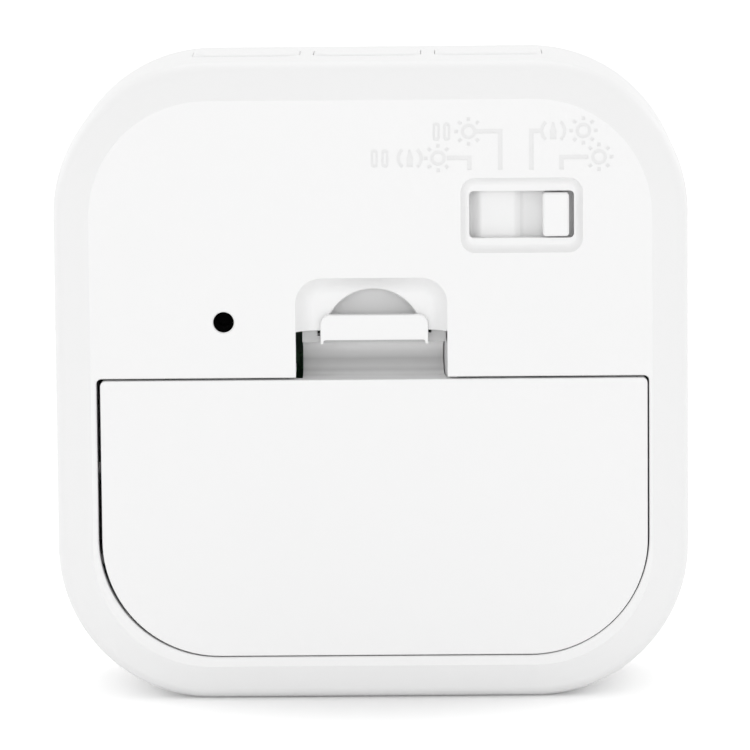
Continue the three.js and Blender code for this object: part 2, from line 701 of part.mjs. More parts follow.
function motorCradle() {
  const half = bootRadius + CRADLE_RIB;
  const rib = (x) => block(
    [x - CRADLE_RIB / 2, motorY, motorZ - half],
    [x + CRADLE_RIB / 2, backInside + BACK_WALL / 2, motorZ + half],
  );
  const ribPlace = (BOOT_LENGTH - CRADLE_RIB) / 2;
  const ribs = rib(MOTOR_X - ribPlace).add(rib(MOTOR_X + ribPlace));
  return ribs.subtract(barX(bootRadius + SEAT, MOTOR_X - BOOT_LENGTH, MOTOR_X + BOOT_LENGTH, motorY, motorZ));
}

// Openings in the top wall for the three buttons
function buttonOpenings() {
  const half = BUTTON_WIDTH / 2 + SLIDE;
  const reach = BUTTON_DEPTH / 2 + SLIDE;
  const opening = (x) => toSolid(
    extrude(
      roundedShape(x - half, x + half, buttonY - reach, buttonY + reach, BUTTON_RADIUS + SLIDE),
      SIDE_WALL + 2 * PAST, SMALL_CORNER_STEPS,
    ).translate(0, 0, CASE_HEIGHT - SIDE_WALL - PAST),
  );
  return buttonPlaces.map(opening).reduce((sum, solid) => sum.add(solid));
}

// Rear shell: side walls and back in one moulding
function rearHousing() {
  const outer = [caseRing(splitPlane, 0)];
  const edgeStart = backFace - BACK_BEVEL_DEPTH - edgeDepth;
  for (let step = 0; step <= EDGE_STEPS; step += 1) {
    const angle = (step / EDGE_STEPS) * (Math.PI / 2 - bevelAngle);
    const inset = BACK_EDGE_RADIUS * (1 - Math.cos(angle));
    outer.push(caseRing(edgeStart + BACK_EDGE_RADIUS * Math.sin(angle), inset));
  }
  outer.push(caseRing(backFace, flatInset));
  const cavity = loft([
    caseRing(splitPlane - PAST, SIDE_WALL),
    caseRing(edgeStart, SIDE_WALL),
    caseRing(backInside, flatInset + SIDE_WALL / 3),
  ]);
  return loft(outer)
    .subtract(cavity)
    .add(batteryTray())
    .add(scoopBack())
    .add(screwTowers())
    .add(switchSupports())
    .add(buzzerRing())
    .add(motorCradle())
    .subtract(doorOpening())
    .subtract(trayHollow())
    .subtract(tailSlots())
    .subtract(footPockets())
    .subtract(latchOpenings())
    .subtract(screwBores())
    .subtract(switchWindow())
    .subtract(postHoles())
    .subtract(drum(SOUND_HOLE_RADIUS, backInside - PAST / 2, backFace + PAST, SOUND_HOLE_X, soundHoleZ))
    .subtract(buttonOpenings());
}

// Front frame with the display's opening
function frontBezel() {
  const outer = [];
  for (let step = 0; step <= EDGE_STEPS; step += 1) {
    const angle = (step / EDGE_STEPS) * (Math.PI / 2);
    const inset = FRONT_EDGE_RADIUS * (1 - Math.sin(angle));
    outer.push(caseRing(frontFace + FRONT_EDGE_RADIUS * (1 - Math.cos(angle)), inset));
  }
  outer.push(caseRing(splitPlane, 0));
  const cavity = loft([caseRing(frontInside, SIDE_WALL), caseRing(splitPlane + PAST, SIDE_WALL)]);
  const lipRoot = splitPlane - LIP_HEIGHT;
  const lipOutside = SIDE_WALL + SEAT;
  const lip = loft([
    caseRing(lipRoot, SIDE_WALL / 2),
    caseRing(splitPlane - SEAT, SIDE_WALL / 2),
    caseRing(splitPlane, lipOutside),
    caseRing(splitPlane + LIP_HEIGHT, lipOutside),
  ]);
  const lipHollow = loft([
    caseRing(lipRoot - PAST, lipOutside + LIP_WALL),
    caseRing(splitPlane + LIP_HEIGHT + PAST, lipOutside + LIP_WALL),
  ]);
  let bezel = loft(outer).subtract(cavity).add(lip.subtract(lipHollow));
  const frameLow = lcdBottom - SEAT;
  const frameHigh = lcdTop + SEAT;
  const frameHalf = lcdHalf + SEAT;
  const frame = block(
    [-frameHalf - FRAME_WALL, frontInside - FRONT_WALL / 2, frameLow - FRAME_WALL],
    [frameHalf + FRAME_WALL, frontInside + FRAME_HEIGHT, frameHigh + FRAME_WALL],
  );
  const frameHollow = block([-frameHalf, frontInside, frameLow], [frameHalf, boardFront, frameHigh]);
  bezel = bezel.add(frame.subtract(frameHollow));
  for (const [x, z] of boardScrewPlaces()) {
    const boss = drum(BOARD_BOSS_RADIUS, frontInside - FRONT_WALL / 2, boardFront - SEAT, x, z, SMALL_SIDES);
    const hole = drum(PILOT_RADIUS, frontInside, boardFront, x, z, SMALL_SIDES);
    bezel = bezel.add(boss).subtract(hole);
  }
  for (const x of [-screwX, screwX]) {
    const boss = drum(BOSS_RADIUS, frontInside - FRONT_WALL / 2, bossEnd, x, screwZ);
    const holeEnd = screwSeat - SCREW_LENGTH - SLIDE;
    const hole = drum(PILOT_RADIUS, holeEnd, bossEnd + PAST, x, screwZ, SMALL_SIDES);
    bezel = bezel.add(boss).subtract(hole);
  }
  const window = displayShape(0);
  const lensSeat = displayShape(LENS_RIM);
  return bezel
    .subtract(prismY(window, frontFace - PAST, frontInside + PAST / 2))
    .subtract(prismY(lensSeat, frontFace - PAST, frontFace + LENS_THICKNESS + SEAT));
}

// Outline of the display's window, grown by a rim
function displayShape(rim) {
  const half = WINDOW_WIDTH / 2 + rim;
  const rise = WINDOW_HEIGHT / 2 + rim;
  return roundedShape(-half, half, displayZ - rise, displayZ + rise, WINDOW_RADIUS + rim);
}

function boardScrewPlaces() {
  const x = boardHalf - BOARD_SCREW_INSET;
  const low = BOARD_BOTTOM + BOARD_SCREW_INSET;
  const high = boardTop - TACT_HEIGHT - BOARD_SCREW_GAP - SCREW_HEAD_RADIUS;
  return [[-x, low], [x, low], [-x, high], [x, high]];
}

// Lens, glass display, light guide and the strip that joins the glass to the board
function lcdPanel() {
  const front = block([-lcdHalf, lcdFront, lcdBottom], [lcdHalf, lcdMiddle, lcdTop]);
  return front.add(block([-lcdHalf, lcdMiddle, lcdBottom + LCD_LEDGE], [lcdHalf, lcdBack, lcdTop]));
}

function buildDisplay(parent) {
  const lens = prismY(displayShape(LENS_RIM - SEAT), frontFace, frontFace + LENS_THICKNESS);
  piece("display_lens", lens, "clear", parent);
  piece("lcd_panel", lcdPanel(), "glass", parent);
  const guideBottom = lcdBottom + LCD_LEDGE;
  const guide = block([-lcdHalf, backlightFront, guideBottom], [lcdHalf, backlightBack, lcdTop]);
  piece("backlight_plate", guide, "diffuser", parent);
  const ledLeft = -lcdHalf - SEAT - LED_WIDTH;
  const led = block(
    [ledLeft, backlightFront, displayZ - LED_HEIGHT / 2],
    [ledLeft + LED_WIDTH, boardFront - SEAT, displayZ + LED_HEIGHT / 2],
  );
  piece("backlight_led", led, "diffuser", parent);
  const zebraMiddle = lcdBottom + LCD_LEDGE / 2;
  const zebra = block(
    [-lcdHalf + LCD_MARGIN, lcdMiddle + SEAT, zebraMiddle - ZEBRA_THICKNESS / 2],
    [lcdHalf - LCD_MARGIN, boardFront - SEAT, zebraMiddle + ZEBRA_THICKNESS / 2],
  );
  piece("zebra_connector", zebra, "rubber", parent);
}

// Main board with its chip, crystal and screws
function buildBoard(parent) {
  let board = prismY(
    roundedShape(-boardHalf, boardHalf, BOARD_BOTTOM, boardTop, BOARD_CORNER), boardFront, boardBack,
  );
  boardScrewPlaces().forEach(([x, z], index) => {
    board = board.subtract(drum(PILOT_RADIUS, boardFront - PAST, boardBack + PAST, x, z, SMALL_SIDES));
    const fastener = piece(`board_screw_${index + 1}`, screw(BOARD_SCREW_LENGTH), "steel", parent);
    fastener.position.set(x, boardBack, z);
  });
  piece("main_board", board, "board", parent);
  const dome = [[0, 0]];
  for (let step = 0; step <= EDGE_STEPS; step += 1) {
    const angle = (step / EDGE_STEPS) * (Math.PI / 2);
    dome.push([step === EDGE_STEPS ? 0 : CHIP_RADIUS * Math.cos(angle), CHIP_RISE * Math.sin(angle)]);
  }
  const chip = piece("controller_chip", lathe(dome), "black", parent);
  chip.position.set(CHIP_X, boardBack + SEAT, CHIP_Z);
  const can = barX(CRYSTAL_RADIUS, -CRYSTAL_LENGTH / 2, CRYSTAL_LENGTH / 2, 0, 0, SMALL_SIDES);
  const crystal = piece("crystal", can, "steel", parent);
  crystal.position.set(CRYSTAL_X, boardBack + SEAT + CRYSTAL_RADIUS, CRYSTAL_Z);
}

// Push button: a cap with a soft top edge, flanges that keep it in, and a stem over the switch's plunger.
// It is drawn around its switch: x and y from the plunger's axis, z from the top of the board.
function buttonCap() {
  const top = BOARD_TOP_INSET + BUTTON_RISE;
  const flangeTop = BOARD_TOP_INSET - SIDE_WALL - SEAT;
  const flangeBottom = flangeTop - FLANGE_THICKNESS;
  const ring = (inset, z) => lying(roundedRing(
    -BUTTON_WIDTH / 2 + inset, BUTTON_WIDTH / 2 - inset,
    BUTTON_BACK_OFFSET - BUTTON_DEPTH / 2 + inset, BUTTON_BACK_OFFSET + BUTTON_DEPTH / 2 - inset,
    BUTTON_RADIUS - inset, SMALL_CORNER_STEPS,
  ), z);
  const rings = [];
  for (let step = 0; step <= EDGE_STEPS; step += 1) {
    const angle = (step / EDGE_STEPS) * (Math.PI / 2);
    rings.push(ring(BUTTON_CROWN * (1 - Math.sin(angle)), top - BUTTON_CROWN * (1 - Math.cos(angle))));
  }
  rings.push(ring(0, flangeBottom));
  const cap = loft(rings);
  const flangeHalf = BUTTON_WIDTH / 2 - FLANGE_END_INSET;
  const flangeDepth = BUTTON_DEPTH / 2 + FLANGE_REACH;
  const flange = block(
    [-flangeHalf, BUTTON_BACK_OFFSET - flangeDepth, flangeBottom],
    [flangeHalf, BUTTON_BACK_OFFSET + flangeDepth, flangeTop],
  );
  const stem = barZ(STEM_RADIUS, PLUNGER_RISE + SEAT, flangeBottom + FLANGE_THICKNESS / 2);
  return cap.add(flange).add(stem);
}

function tactBody() {
  const body = block([-TACT_WIDTH / 2, -TACT_DEPTH / 2, -TACT_HEIGHT], [TACT_WIDTH / 2, TACT_DEPTH / 2, 0]);
  const room = PLUNGER_ROOT + BUTTON_TRAVEL + SLIDE;
  return body.subtract(barZ(PLUNGER_RADIUS + SLIDE, -room, PAST));
}

function buildButtons(parent) {
  buttonNames.forEach((name, index) => {
    const unit = new THREE.Group();
    unit.position.set(buttonPlaces[index], tactY, boardTop);
    parent.add(unit);
    piece(`button_${name}`, buttonCap(), "white", unit);
    piece(`plunger_${name}`, barZ(PLUNGER_RADIUS, -PLUNGER_ROOT, PLUNGER_RISE), "black", unit);
    piece(`tact_switch_${name}`, tactBody(), "black", unit);
  });
}

// Slide switch: knob with its cover plate, the switch behind it, and the small board that carries the switch
function modeSlider() {
  const knob = prismY(
    roundedShape(
      knobX - KNOB_WIDTH / 2, knobX + KNOB_WIDTH / 2, switchZ - KNOB_HEIGHT / 2, switchZ + KNOB_HEIGHT / 2,
      SWITCH_WINDOW_RADIUS / 2,
    ),
    coverFront, backFace - KNOB_SINK,
  );
  const coverRise = windowRise + COVER_LAP;
  const cover = block(
    [knobX - KNOB_WIDTH / 2, coverFront, switchZ - coverRise],
    [switchX + windowHalf + COVER_LAP, coverBack, switchZ + coverRise],
  );
  const socketHalf = ACTUATOR_SIZE / 2 + SLIDE + SOCKET_WALL;
  const socket = block(
    [knobX - socketHalf, socketFront, switchZ - socketHalf],
    [knobX + socketHalf, coverFront, switchZ + socketHalf],
  );
  const hollowHalf = ACTUATOR_SIZE / 2 + SLIDE;
  const hollow = block(
    [knobX - hollowHalf, socketFront - PAST, switchZ - hollowHalf],
    [knobX + hollowHalf, coverFront, switchZ + hollowHalf],
  );
  return knob.add(cover).add(socket).subtract(hollow);
}

function buildSwitch(parent) {
  piece("mode_slider", modeSlider(), "white", parent);
  const half = ACTUATOR_SIZE / 2;
  const actuator = block(
    [knobX - half, switchBodyBack - ACTUATOR_ROOT, switchZ - half],
    [knobX + half, coverFront - SLIDE, switchZ + half],
  );
  piece("slide_switch_actuator", actuator, "black", parent);
  const body = block(
    [switchX - switchBodyHalf, switchBodyFront, switchZ - SWITCH_BODY_HEIGHT / 2],
    [switchX + switchBodyHalf, switchBodyBack, switchZ + SWITCH_BODY_HEIGHT / 2],
  );
  const slot = block(
    [knobX - half - SLIDE, switchBodyBack - ACTUATOR_ROOT - SLIDE, switchZ - half - SLIDE],
    [knobX + switchTravel + half + SLIDE, switchBodyBack + PAST, switchZ + half + SLIDE],
  );
  piece("slide_switch_body", body.subtract(slot), "steel", parent);
  let board = block(
    [switchX - SWITCH_BOARD_WIDTH / 2, switchBoardFront, switchZ - SWITCH_BOARD_HEIGHT / 2],
    [switchX + SWITCH_BOARD_WIDTH / 2, switchBoardBack, switchZ + SWITCH_BOARD_HEIGHT / 2],
  );
  postPlaces.forEach(([x, z], index) => {
    const hole = drum(PILOT_RADIUS, switchBoardFront - PAST, switchBoardBack + PAST, x, z, SMALL_SIDES);
    board = board.subtract(hole);
    const fastener = piece(`switch_screw_${index + 1}`, screw(BOARD_SCREW_LENGTH), "steel", parent);
    fastener.position.set(x, switchBoardFront, z);
    fastener.rotation.z = Math.PI;
  });
  piece("switch_board", board, "board", parent);
}

// Sounder can with its port facing the hole
function buildBuzzer(parent) {
  const can = drum(BUZZER_RADIUS, buzzerBack - BUZZER_HEIGHT, buzzerBack);
  const port = drum(BUZZER_PORT_RADIUS, buzzerBack - BUZZER_HEIGHT / 4, buzzerBack + PAST, 0, 0, SMALL_SIDES);
  const buzzer = piece("buzzer", can.subtract(port), "black", parent);
  buzzer.position.set(SOUND_HOLE_X, 0, soundHoleZ);
}

// Motor in its rubber sleeve; the weight hangs to one side of the shaft
function buildMotor(parent) {
  const unit = new THREE.Group();
  unit.position.set(MOTOR_X, motorY, motorZ);
  parent.add(unit);
  const half = MOTOR_LENGTH / 2;
  const shaftEnd = half + WEIGHT_GAP + WEIGHT_LENGTH;
  const motor = barX(MOTOR_RADIUS, -half, half).add(barX(MOTOR_SHAFT_RADIUS, 0, shaftEnd, 0, 0, SMALL_SIDES));
  piece("vibration_motor", motor, "steel", unit);
  const sleeve = barX(bootRadius, -BOOT_LENGTH / 2, BOOT_LENGTH / 2);
  piece("motor_boot", sleeve.subtract(barX(MOTOR_RADIUS + SEAT, -half, half)), "rubber", unit);
  const hub = MOTOR_SHAFT_RADIUS + 2 * SLIDE;
  const lower = block([-PAST, -WEIGHT_RADIUS, -WEIGHT_RADIUS], [shaftEnd + PAST, WEIGHT_RADIUS, 0]);
  const weight = barX(WEIGHT_RADIUS, half + WEIGHT_GAP, shaftEnd)
    .intersect(lower)
    .add(barX(hub, half + WEIGHT_GAP, shaftEnd, 0, 0, SMALL_SIDES))
    .subtract(barX(MOTOR_SHAFT_RADIUS + SLIDE, half, shaftEnd + PAST, 0, 0, SMALL_SIDES));
  piece("motor_weight", weight, "steel", unit);
}

// One cell, drawn along Y with its positive end at the top
function cell() {
  const radius = CELL_DIAMETER / 2;
  const bottom = -CELL_LENGTH / 2;
  const top = CELL_LENGTH / 2;
  const shoulder = top - CELL_NUB;
  return lathe([
    [0, bottom],
    [radius - CELL_EDGE, bottom],
    [radius, bottom + CELL_EDGE],
    [radius, shoulder - CELL_EDGE],
    [radius - CELL_EDGE, shoulder],
    [CELL_NUB_RADIUS, shoulder],
    [CELL_NUB_RADIUS, top],
    [0, top],
  ]);
}

// Cone of wire that presses on a cell's flat end, along X from its plate
function springPoints() {
  const stub = SPRING_WIRE;
  const points = [[0, SPRING_BASE_RADIUS, 0]];
  const steps = SPRING_TURNS * SPRING_STEPS;
  for (let step = 0; step <= steps; step += 1) {
    const share = step / steps;
    const radius = SPRING_BASE_RADIUS + (SPRING_TIP_RADIUS - SPRING_BASE_RADIUS) * share;
    const angle = 2 * Math.PI * SPRING_TURNS * share;
    const x = stub + (SPRING_LENGTH - 2 * stub) * share;
    points.push([x, radius * Math.cos(angle), radius * Math.sin(angle)]);
  }
  const tip = points[points.length - 1];
  points.push([SPRING_LENGTH, tip[1], tip[2]]);
  return points;
}

// Least distance between points that lie at least half a turn apart, less the wire
function leastGap(points, apart, wire) {
  let least = Infinity;
  points.forEach((point, index) => {
    points.slice(index + apart).forEach((other) => {
      least = Math.min(least, Math.hypot(...point.map((value, axis) => value - other[axis])));
    });
  });
  return least - wire;
}

function coilSpring() {
  const points = springPoints();
  const gap = leastGap(points, SPRING_STEPS / 2, SPRING_WIRE);
  console.log(`battery spring: least gap to itself ${gap.toFixed(2)} mm`);
  return tube(points, roundSection(SPRING_WIRE / 2, SPRING_SIDES), points.length - 1);
}

// Contact plate across the end of one cell
function contactPlate(z = 0) {
  const half = CONTACT_SIZE / 2;
  return block([-CONTACT_THICKNESS / 2, -half, z - half], [CONTACT_THICKNESS / 2, half, z + half]);
}

function tailedContact() {
  const tailEnd = trayFront - TAIL_REACH - cellDepth;
  const tail = block(
    [-CONTACT_THICKNESS / 2, tailEnd, -TAIL_WIDTH / 2],
    [CONTACT_THICKNESS / 2, 0, TAIL_WIDTH / 2],
  );
  return contactPlate().add(tail);
}

function bridgeContact() {
  const strap = block(
    [-CONTACT_THICKNESS / 2, -TAIL_WIDTH, -cellOffset],
    [CONTACT_THICKNESS / 2, TAIL_WIDTH, cellOffset],
  );
  return contactPlate(-cellOffset).add(contactPlate(cellOffset)).add(strap);
}

function buildBattery(parent) {
  const unit = new THREE.Group();
  unit.position.set(0, cellDepth, trayMiddle);
  parent.add(unit);
  const upperCell = piece("cell_upper", cell(), "sleeve", unit);
  upperCell.position.set(cellShift, 0, cellOffset);
  upperCell.rotation.z = -Math.PI / 2;
  const lowerCell = piece("cell_lower", cell(), "sleeve", unit);
  lowerCell.position.set(-cellShift, 0, -cellOffset);
  lowerCell.rotation.z = Math.PI / 2;
  piece("positive_contact", tailedContact(), "steel", unit).position.set(plateX, 0, cellOffset);
  piece("negative_contact", tailedContact(), "steel", unit).position.set(plateX, 0, -cellOffset);
  piece("bridge_contact", bridgeContact(), "steel", unit).position.set(-plateX, 0, 0);
  const bridgeSpring = piece("bridge_spring", coilSpring(), "steel", unit);
  bridgeSpring.position.set(-springX, 0, cellOffset);
  const negativeSpring = piece("negative_spring", coilSpring(), "steel", unit);
  negativeSpring.position.set(springX, 0, -cellOffset);
  negativeSpring.rotation.z = Math.PI;
}

// Battery door with its hinge feet and the near leg of the spring latch
function latchBend() {
  const outer = bendRadius + LATCH_WALL;
  const shape = new THREE.Shape();
  shape.moveTo(doorInside + DOOR_THICKNESS / 4, doorTop - LATCH_WALL);
  shape.lineTo(doorInside + DOOR_THICKNESS / 4, doorTop);
  shape.lineTo(bendDepth, doorTop);
  shape.absarc(bendDepth, bendMiddle, bendRadius, 1.5 * Math.PI, Math.PI / 2, true);
  shape.lineTo(earBack, outerLegBottom);
  shape.lineTo(earBack, outerLegTop);
  shape.lineTo(bendDepth, outerLegTop);
  shape.absarc(bendDepth, bendMiddle, outer, Math.PI / 2, 1.5 * Math.PI, false);
  return prismX(shape, DOOR_SHIFT - LATCH_WIDTH / 2, DOOR_SHIFT + LATCH_WIDTH / 2);
}

function halfSpace(bottom, top) {
  return block([-CASE_WIDTH, 2 * frontFace, bottom], [CASE_WIDTH, 2 * backFace, top]);
}

function batteryDoor() {
  const panel = prismY(
    roundedShape(
      -openingHalf + SLIDE + DOOR_SHIFT, openingHalf - SLIDE + DOOR_SHIFT, doorBottom, doorTop,
      openingFootRadius - SLIDE, DOOR_TOP_RADIUS,
    ),
    doorInside, backFace, CORNER_STEPS,
  );
  const foot = (x) => block(
    [x - FOOT_WIDTH / 2, footFront, openingBottom - FOOT_REACH],
    [x + FOOT_WIDTH / 2, footBack, doorBottom + FOOT_RISE],
  ).add(block(
    [x - FOOT_WIDTH / 2, footFront, doorBottom + SLIDE],
    [x + FOOT_WIDTH / 2, doorInside + DOOR_THICKNESS / 2, doorBottom + FOOT_RISE],
  ));
  const nearLeg = latchBend().intersect(halfSpace(0, bendMiddle - SLIDE / 2));
  return panel.add(foot(-FOOT_X + DOOR_SHIFT)).add(foot(FOOT_X + DOOR_SHIFT)).add(nearLeg);
}

function doorLatch() {
  const farLeg = latchBend().intersect(halfSpace(bendMiddle + SLIDE / 2, CASE_HEIGHT));
  const ears = block(
    [DOOR_SHIFT - LATCH_WIDTH / 2, earBack - EAR_THICKNESS, outerLegBottom],
    [DOOR_SHIFT + LATCH_WIDTH / 2, earBack, outerLegTop + EAR_REACH],
  );
  const tabHalf = TAB_WIDTH / 2;
  const tabTop = backFace - TAB_SINK;
  const riser = block(
    [DOOR_SHIFT - tabHalf, earBack - EAR_THICKNESS, outerLegBottom],
    [DOOR_SHIFT + tabHalf, tabTop, outerLegTop],
  );
  const tabShape = roundedShape(
    DOOR_SHIFT - tabHalf, DOOR_SHIFT + tabHalf, outerLegBottom, outerLegTop + TAB_REACH,
    TAB_CORNER / 4, TAB_CORNER,
  );
  return farLeg.add(ears).add(riser).add(prismY(tabShape, tabTop - TAB_THICKNESS, tabTop));
}

// Wires inside the case
function buildLeads(parent) {
  const round = roundSection(LEAD_RADIUS, LEAD_SIDES);
  const boardEnd = boardBack + SEAT;
  const tailEnd = trayFront - TAIL_REACH - SEAT;
  const middle = (boardEnd + tailEnd) / 2;
  const contactLead = (z) => {
    const landing = plateX - LEAD_RUN;
    return tube([
      [plateX, tailEnd, z],
      [plateX, tailEnd - LEAD_RADIUS, z],
      [plateX - LEAD_RADIUS, middle, z],
      [landing + LEAD_RADIUS, middle, z],
      [landing, boardEnd + LEAD_RADIUS, z],
      [landing, boardEnd, z],
    ], round, LEAD_STEPS);
  };
  piece("positive_lead", contactLead(trayMiddle + cellOffset), "red", parent);
  piece("negative_lead", contactLead(trayMiddle - cellOffset), "black", parent);

  const buzzerEnd = buzzerBack - BUZZER_HEIGHT - SEAT;
  const buzzerMiddle = (buzzerEnd + boardEnd) / 2;
  const buzzerLead = tube([
    [SOUND_HOLE_X, buzzerEnd, soundHoleZ],
    [SOUND_HOLE_X, buzzerEnd - 2 * LEAD_RADIUS, soundHoleZ],
    [SOUND_HOLE_X - 2 * LEAD_RADIUS, buzzerMiddle, soundHoleZ + 2 * LEAD_RADIUS],
    [SOUND_HOLE_X, boardEnd + 2 * LEAD_RADIUS, soundHoleZ],
    [SOUND_HOLE_X, boardEnd, soundHoleZ],
  ], round, LEAD_STEPS);
  piece("buzzer_lead", buzzerLead, "black", parent);

  const motorEnd = MOTOR_X - MOTOR_LENGTH / 2 - SEAT;
  const landingX = motorEnd - 4 * LEAD_RADIUS;
  const landingZ = (motorZ + soundHoleZ) / 2;
  const motorLead = tube([
    [motorEnd, motorY, motorZ],
    [motorEnd - 2 * LEAD_RADIUS, motorY, motorZ],
    [landingX, (motorY + boardEnd) / 2, (motorZ + landingZ) / 2],
    [landingX, boardEnd + 2 * LEAD_RADIUS, landingZ],
    [landingX, boardEnd, landingZ],
  ], round, LEAD_STEPS);
  piece("motor_lead", motorLead, "red", parent);

  const ribbonTop = switchBoardFront - SEAT;
  const ribbonHalf = RIBBON_WIDTH / 2;
  const ribbonThin = RIBBON_THICKNESS / 2;
  const section = new THREE.Shape([
    new THREE.Vector2(-ribbonHalf, -ribbonThin),
    new THREE.Vector2(ribbonHalf, -ribbonThin),
    new THREE.Vector2(ribbonHalf, ribbonThin),
    new THREE.Vector2(-ribbonHalf, ribbonThin),
  ]);
  const ribbonZ = switchZ - postRise;
  const ribbon = tube([
    [switchX, ribbonTop, ribbonZ],
    [switchX, ribbonTop - RIBBON_THICKNESS, ribbonZ],
    [switchX, (ribbonTop + boardEnd) / 2, ribbonZ - RIBBON_THICKNESS],
    [switchX, boardEnd + RIBBON_THICKNESS, ribbonZ],
    [switchX, boardEnd, ribbonZ],
  ], section, LEAD_STEPS);
  piece("switch_ribbon", ribbon, "grey", parent);
}

// The whole timer, in the order in which it is put together
const timer = new THREE.Group();
piece("front_bezel", frontBezel(), "white", timer);
buildDisplay(timer);
buildBoard(timer);
piece("rear_housing", rearHousing(), "white", timer);
buildButtons(timer);
buildSwitch(timer);
buildBuzzer(timer);
buildMotor(timer);
buildLeads(timer);
for (const [name, x] of [["left", -screwX], ["right", screwX]]) {
  piece(`case_screw_${name}`, screw(SCREW_LENGTH), "steel", timer).position.set(x, screwSeat, screwZ);
}
buildBattery(timer);
piece("battery_door", batteryDoor(), "white", timer);
piece("door_latch", doorLatch(), "white", timer);

export default timer;
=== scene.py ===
import json
import math

import bmesh
import bpy
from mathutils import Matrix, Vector


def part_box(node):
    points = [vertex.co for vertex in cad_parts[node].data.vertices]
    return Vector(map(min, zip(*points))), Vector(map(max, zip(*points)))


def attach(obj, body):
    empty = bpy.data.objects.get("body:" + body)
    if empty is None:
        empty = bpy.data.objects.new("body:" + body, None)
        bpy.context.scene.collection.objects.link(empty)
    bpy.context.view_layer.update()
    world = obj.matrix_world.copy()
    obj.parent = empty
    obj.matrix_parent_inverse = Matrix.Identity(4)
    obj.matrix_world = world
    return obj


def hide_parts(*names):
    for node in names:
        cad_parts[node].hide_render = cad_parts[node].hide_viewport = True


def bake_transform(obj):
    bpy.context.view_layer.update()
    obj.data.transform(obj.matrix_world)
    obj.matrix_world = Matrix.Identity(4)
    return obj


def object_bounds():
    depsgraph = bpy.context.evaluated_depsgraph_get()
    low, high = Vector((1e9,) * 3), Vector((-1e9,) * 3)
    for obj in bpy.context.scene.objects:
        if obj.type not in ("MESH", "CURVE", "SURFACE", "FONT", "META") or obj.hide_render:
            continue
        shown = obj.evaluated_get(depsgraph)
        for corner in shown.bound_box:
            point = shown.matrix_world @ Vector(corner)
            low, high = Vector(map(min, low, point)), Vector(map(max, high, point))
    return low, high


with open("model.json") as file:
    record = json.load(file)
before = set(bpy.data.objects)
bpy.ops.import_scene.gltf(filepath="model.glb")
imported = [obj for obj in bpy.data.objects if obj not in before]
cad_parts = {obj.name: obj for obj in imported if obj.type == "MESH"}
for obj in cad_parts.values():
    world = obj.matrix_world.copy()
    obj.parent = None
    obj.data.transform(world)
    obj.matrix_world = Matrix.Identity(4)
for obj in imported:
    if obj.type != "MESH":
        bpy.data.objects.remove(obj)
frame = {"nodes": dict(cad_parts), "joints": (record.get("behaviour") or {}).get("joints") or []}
cad_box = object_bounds()


# Front frame
# The front half of the case, a white ABS moulding with a soft outer edge and a sunken seat for the
# display's lens. Its lip plugs into the rear housing, its bosses carry the main board, and two screws from
# the back hold it.
MM = 0.001
FRONT = Vector((0, -1, 0))
BACK = Vector((0, 1, 0))
UP = Vector((0, 0, 1))
SIDEWAYS = Vector((1, 0, 0))
SIDES = ("left", "right")
CORNER_RADIUS = 17 * MM
CORNER_STEPS = 28
FRONT_EDGE = 4.6 * MM
FRONT_WALL = 2.4 * MM
SEAM_GROOVE = 0.15 * MM
LIP_INSET = 2 * MM
LIP_WALL = 0.9 * MM
LIP_HEIGHT = 1.4 * MM
WINDOW = (40 * MM, 23 * MM)
WINDOW_RADIUS = 2 * MM
LENS_SEAT = 2.2 * MM
LENS_SEAT_DEPTH = 1.4 * MM
MOUTH = 0.12 * MM
PAST = 1 * MM
CASE_BOSS = 2.3 * MM
BOARD_BOSS = 2 * MM
BOSS_GAP = 0.2 * MM
PILOT = 1.2 * MM
TIP_ROOM = 0.3 * MM
GLASS_ROOM = 0.2 * MM
GLASS_FRAME_WALL = 1 * MM
GLASS_FRAME_HEIGHT = 2 * MM
ROUND_SIDES = 48
HOLE_SIDES = 24
SMOOTH_ANGLE = math.radians(24)
SLIVER = 0.0005 * MM
SAME_PLANE = 0.001 * MM
FACING = 0.999


def make_active(piece):
    bpy.ops.object.select_all(action="DESELECT")
    piece.select_set(True)
    bpy.context.view_layer.objects.active = piece


def settle(name):
    """Names the piece that was just added, and moves its place from the object into the mesh."""
    piece = bpy.context.object
    make_active(piece)
    bpy.ops.object.transform_apply(location=True, rotation=True, scale=True)
    piece.name = name
    piece.data.name = name
    return piece


def around(middle, half):
    return (middle - half, middle + half)


def add_block(name, across, depth, height):
    """A block between two places from side to side, two depths and two heights."""
    low, high = (Vector(corner) for corner in zip(across, depth, height))
    bpy.ops.mesh.primitive_cube_add(size=1, location=(low + high) / 2, scale=high - low)
    return settle(name)


def add_bar(name, radius, start, end, sides=ROUND_SIDES):
    start, end = Vector(start), Vector(end)
    run = end - start
    turn = run.to_track_quat("Z", "Y").to_euler()
    bpy.ops.mesh.primitive_cylinder_add(
        vertices=sides, radius=radius, depth=run.length, location=(start + end) / 2, rotation=turn
    )
    return settle(name)


def add_peg(name, radius, spot, front, back, sides=ROUND_SIDES):
    """A round bar through a spot, from one depth to another."""
    return add_bar(name, radius, (spot.x, front, spot.z), (spot.x, back, spot.z), sides)


def choose(piece, kind, test):
    """Goes into edit mode with the faces or edges selected that pass the test."""
    make_active(piece)
    bpy.ops.object.mode_set(mode="EDIT")
    bpy.ops.mesh.select_mode(type=kind)
    bpy.ops.mesh.select_all(action="DESELECT")
    mesh = bmesh.from_edit_mesh(piece.data)
    for part in mesh.faces if kind == "FACE" else mesh.edges:
        if test(part):
            part.select_set(True)
    bmesh.update_edit_mesh(piece.data)


def end_edit():
    bpy.ops.object.mode_set(mode="OBJECT")


def extrude(way):
    bpy.ops.mesh.extrude_region_move(TRANSFORM_OT_translate={"value": way})


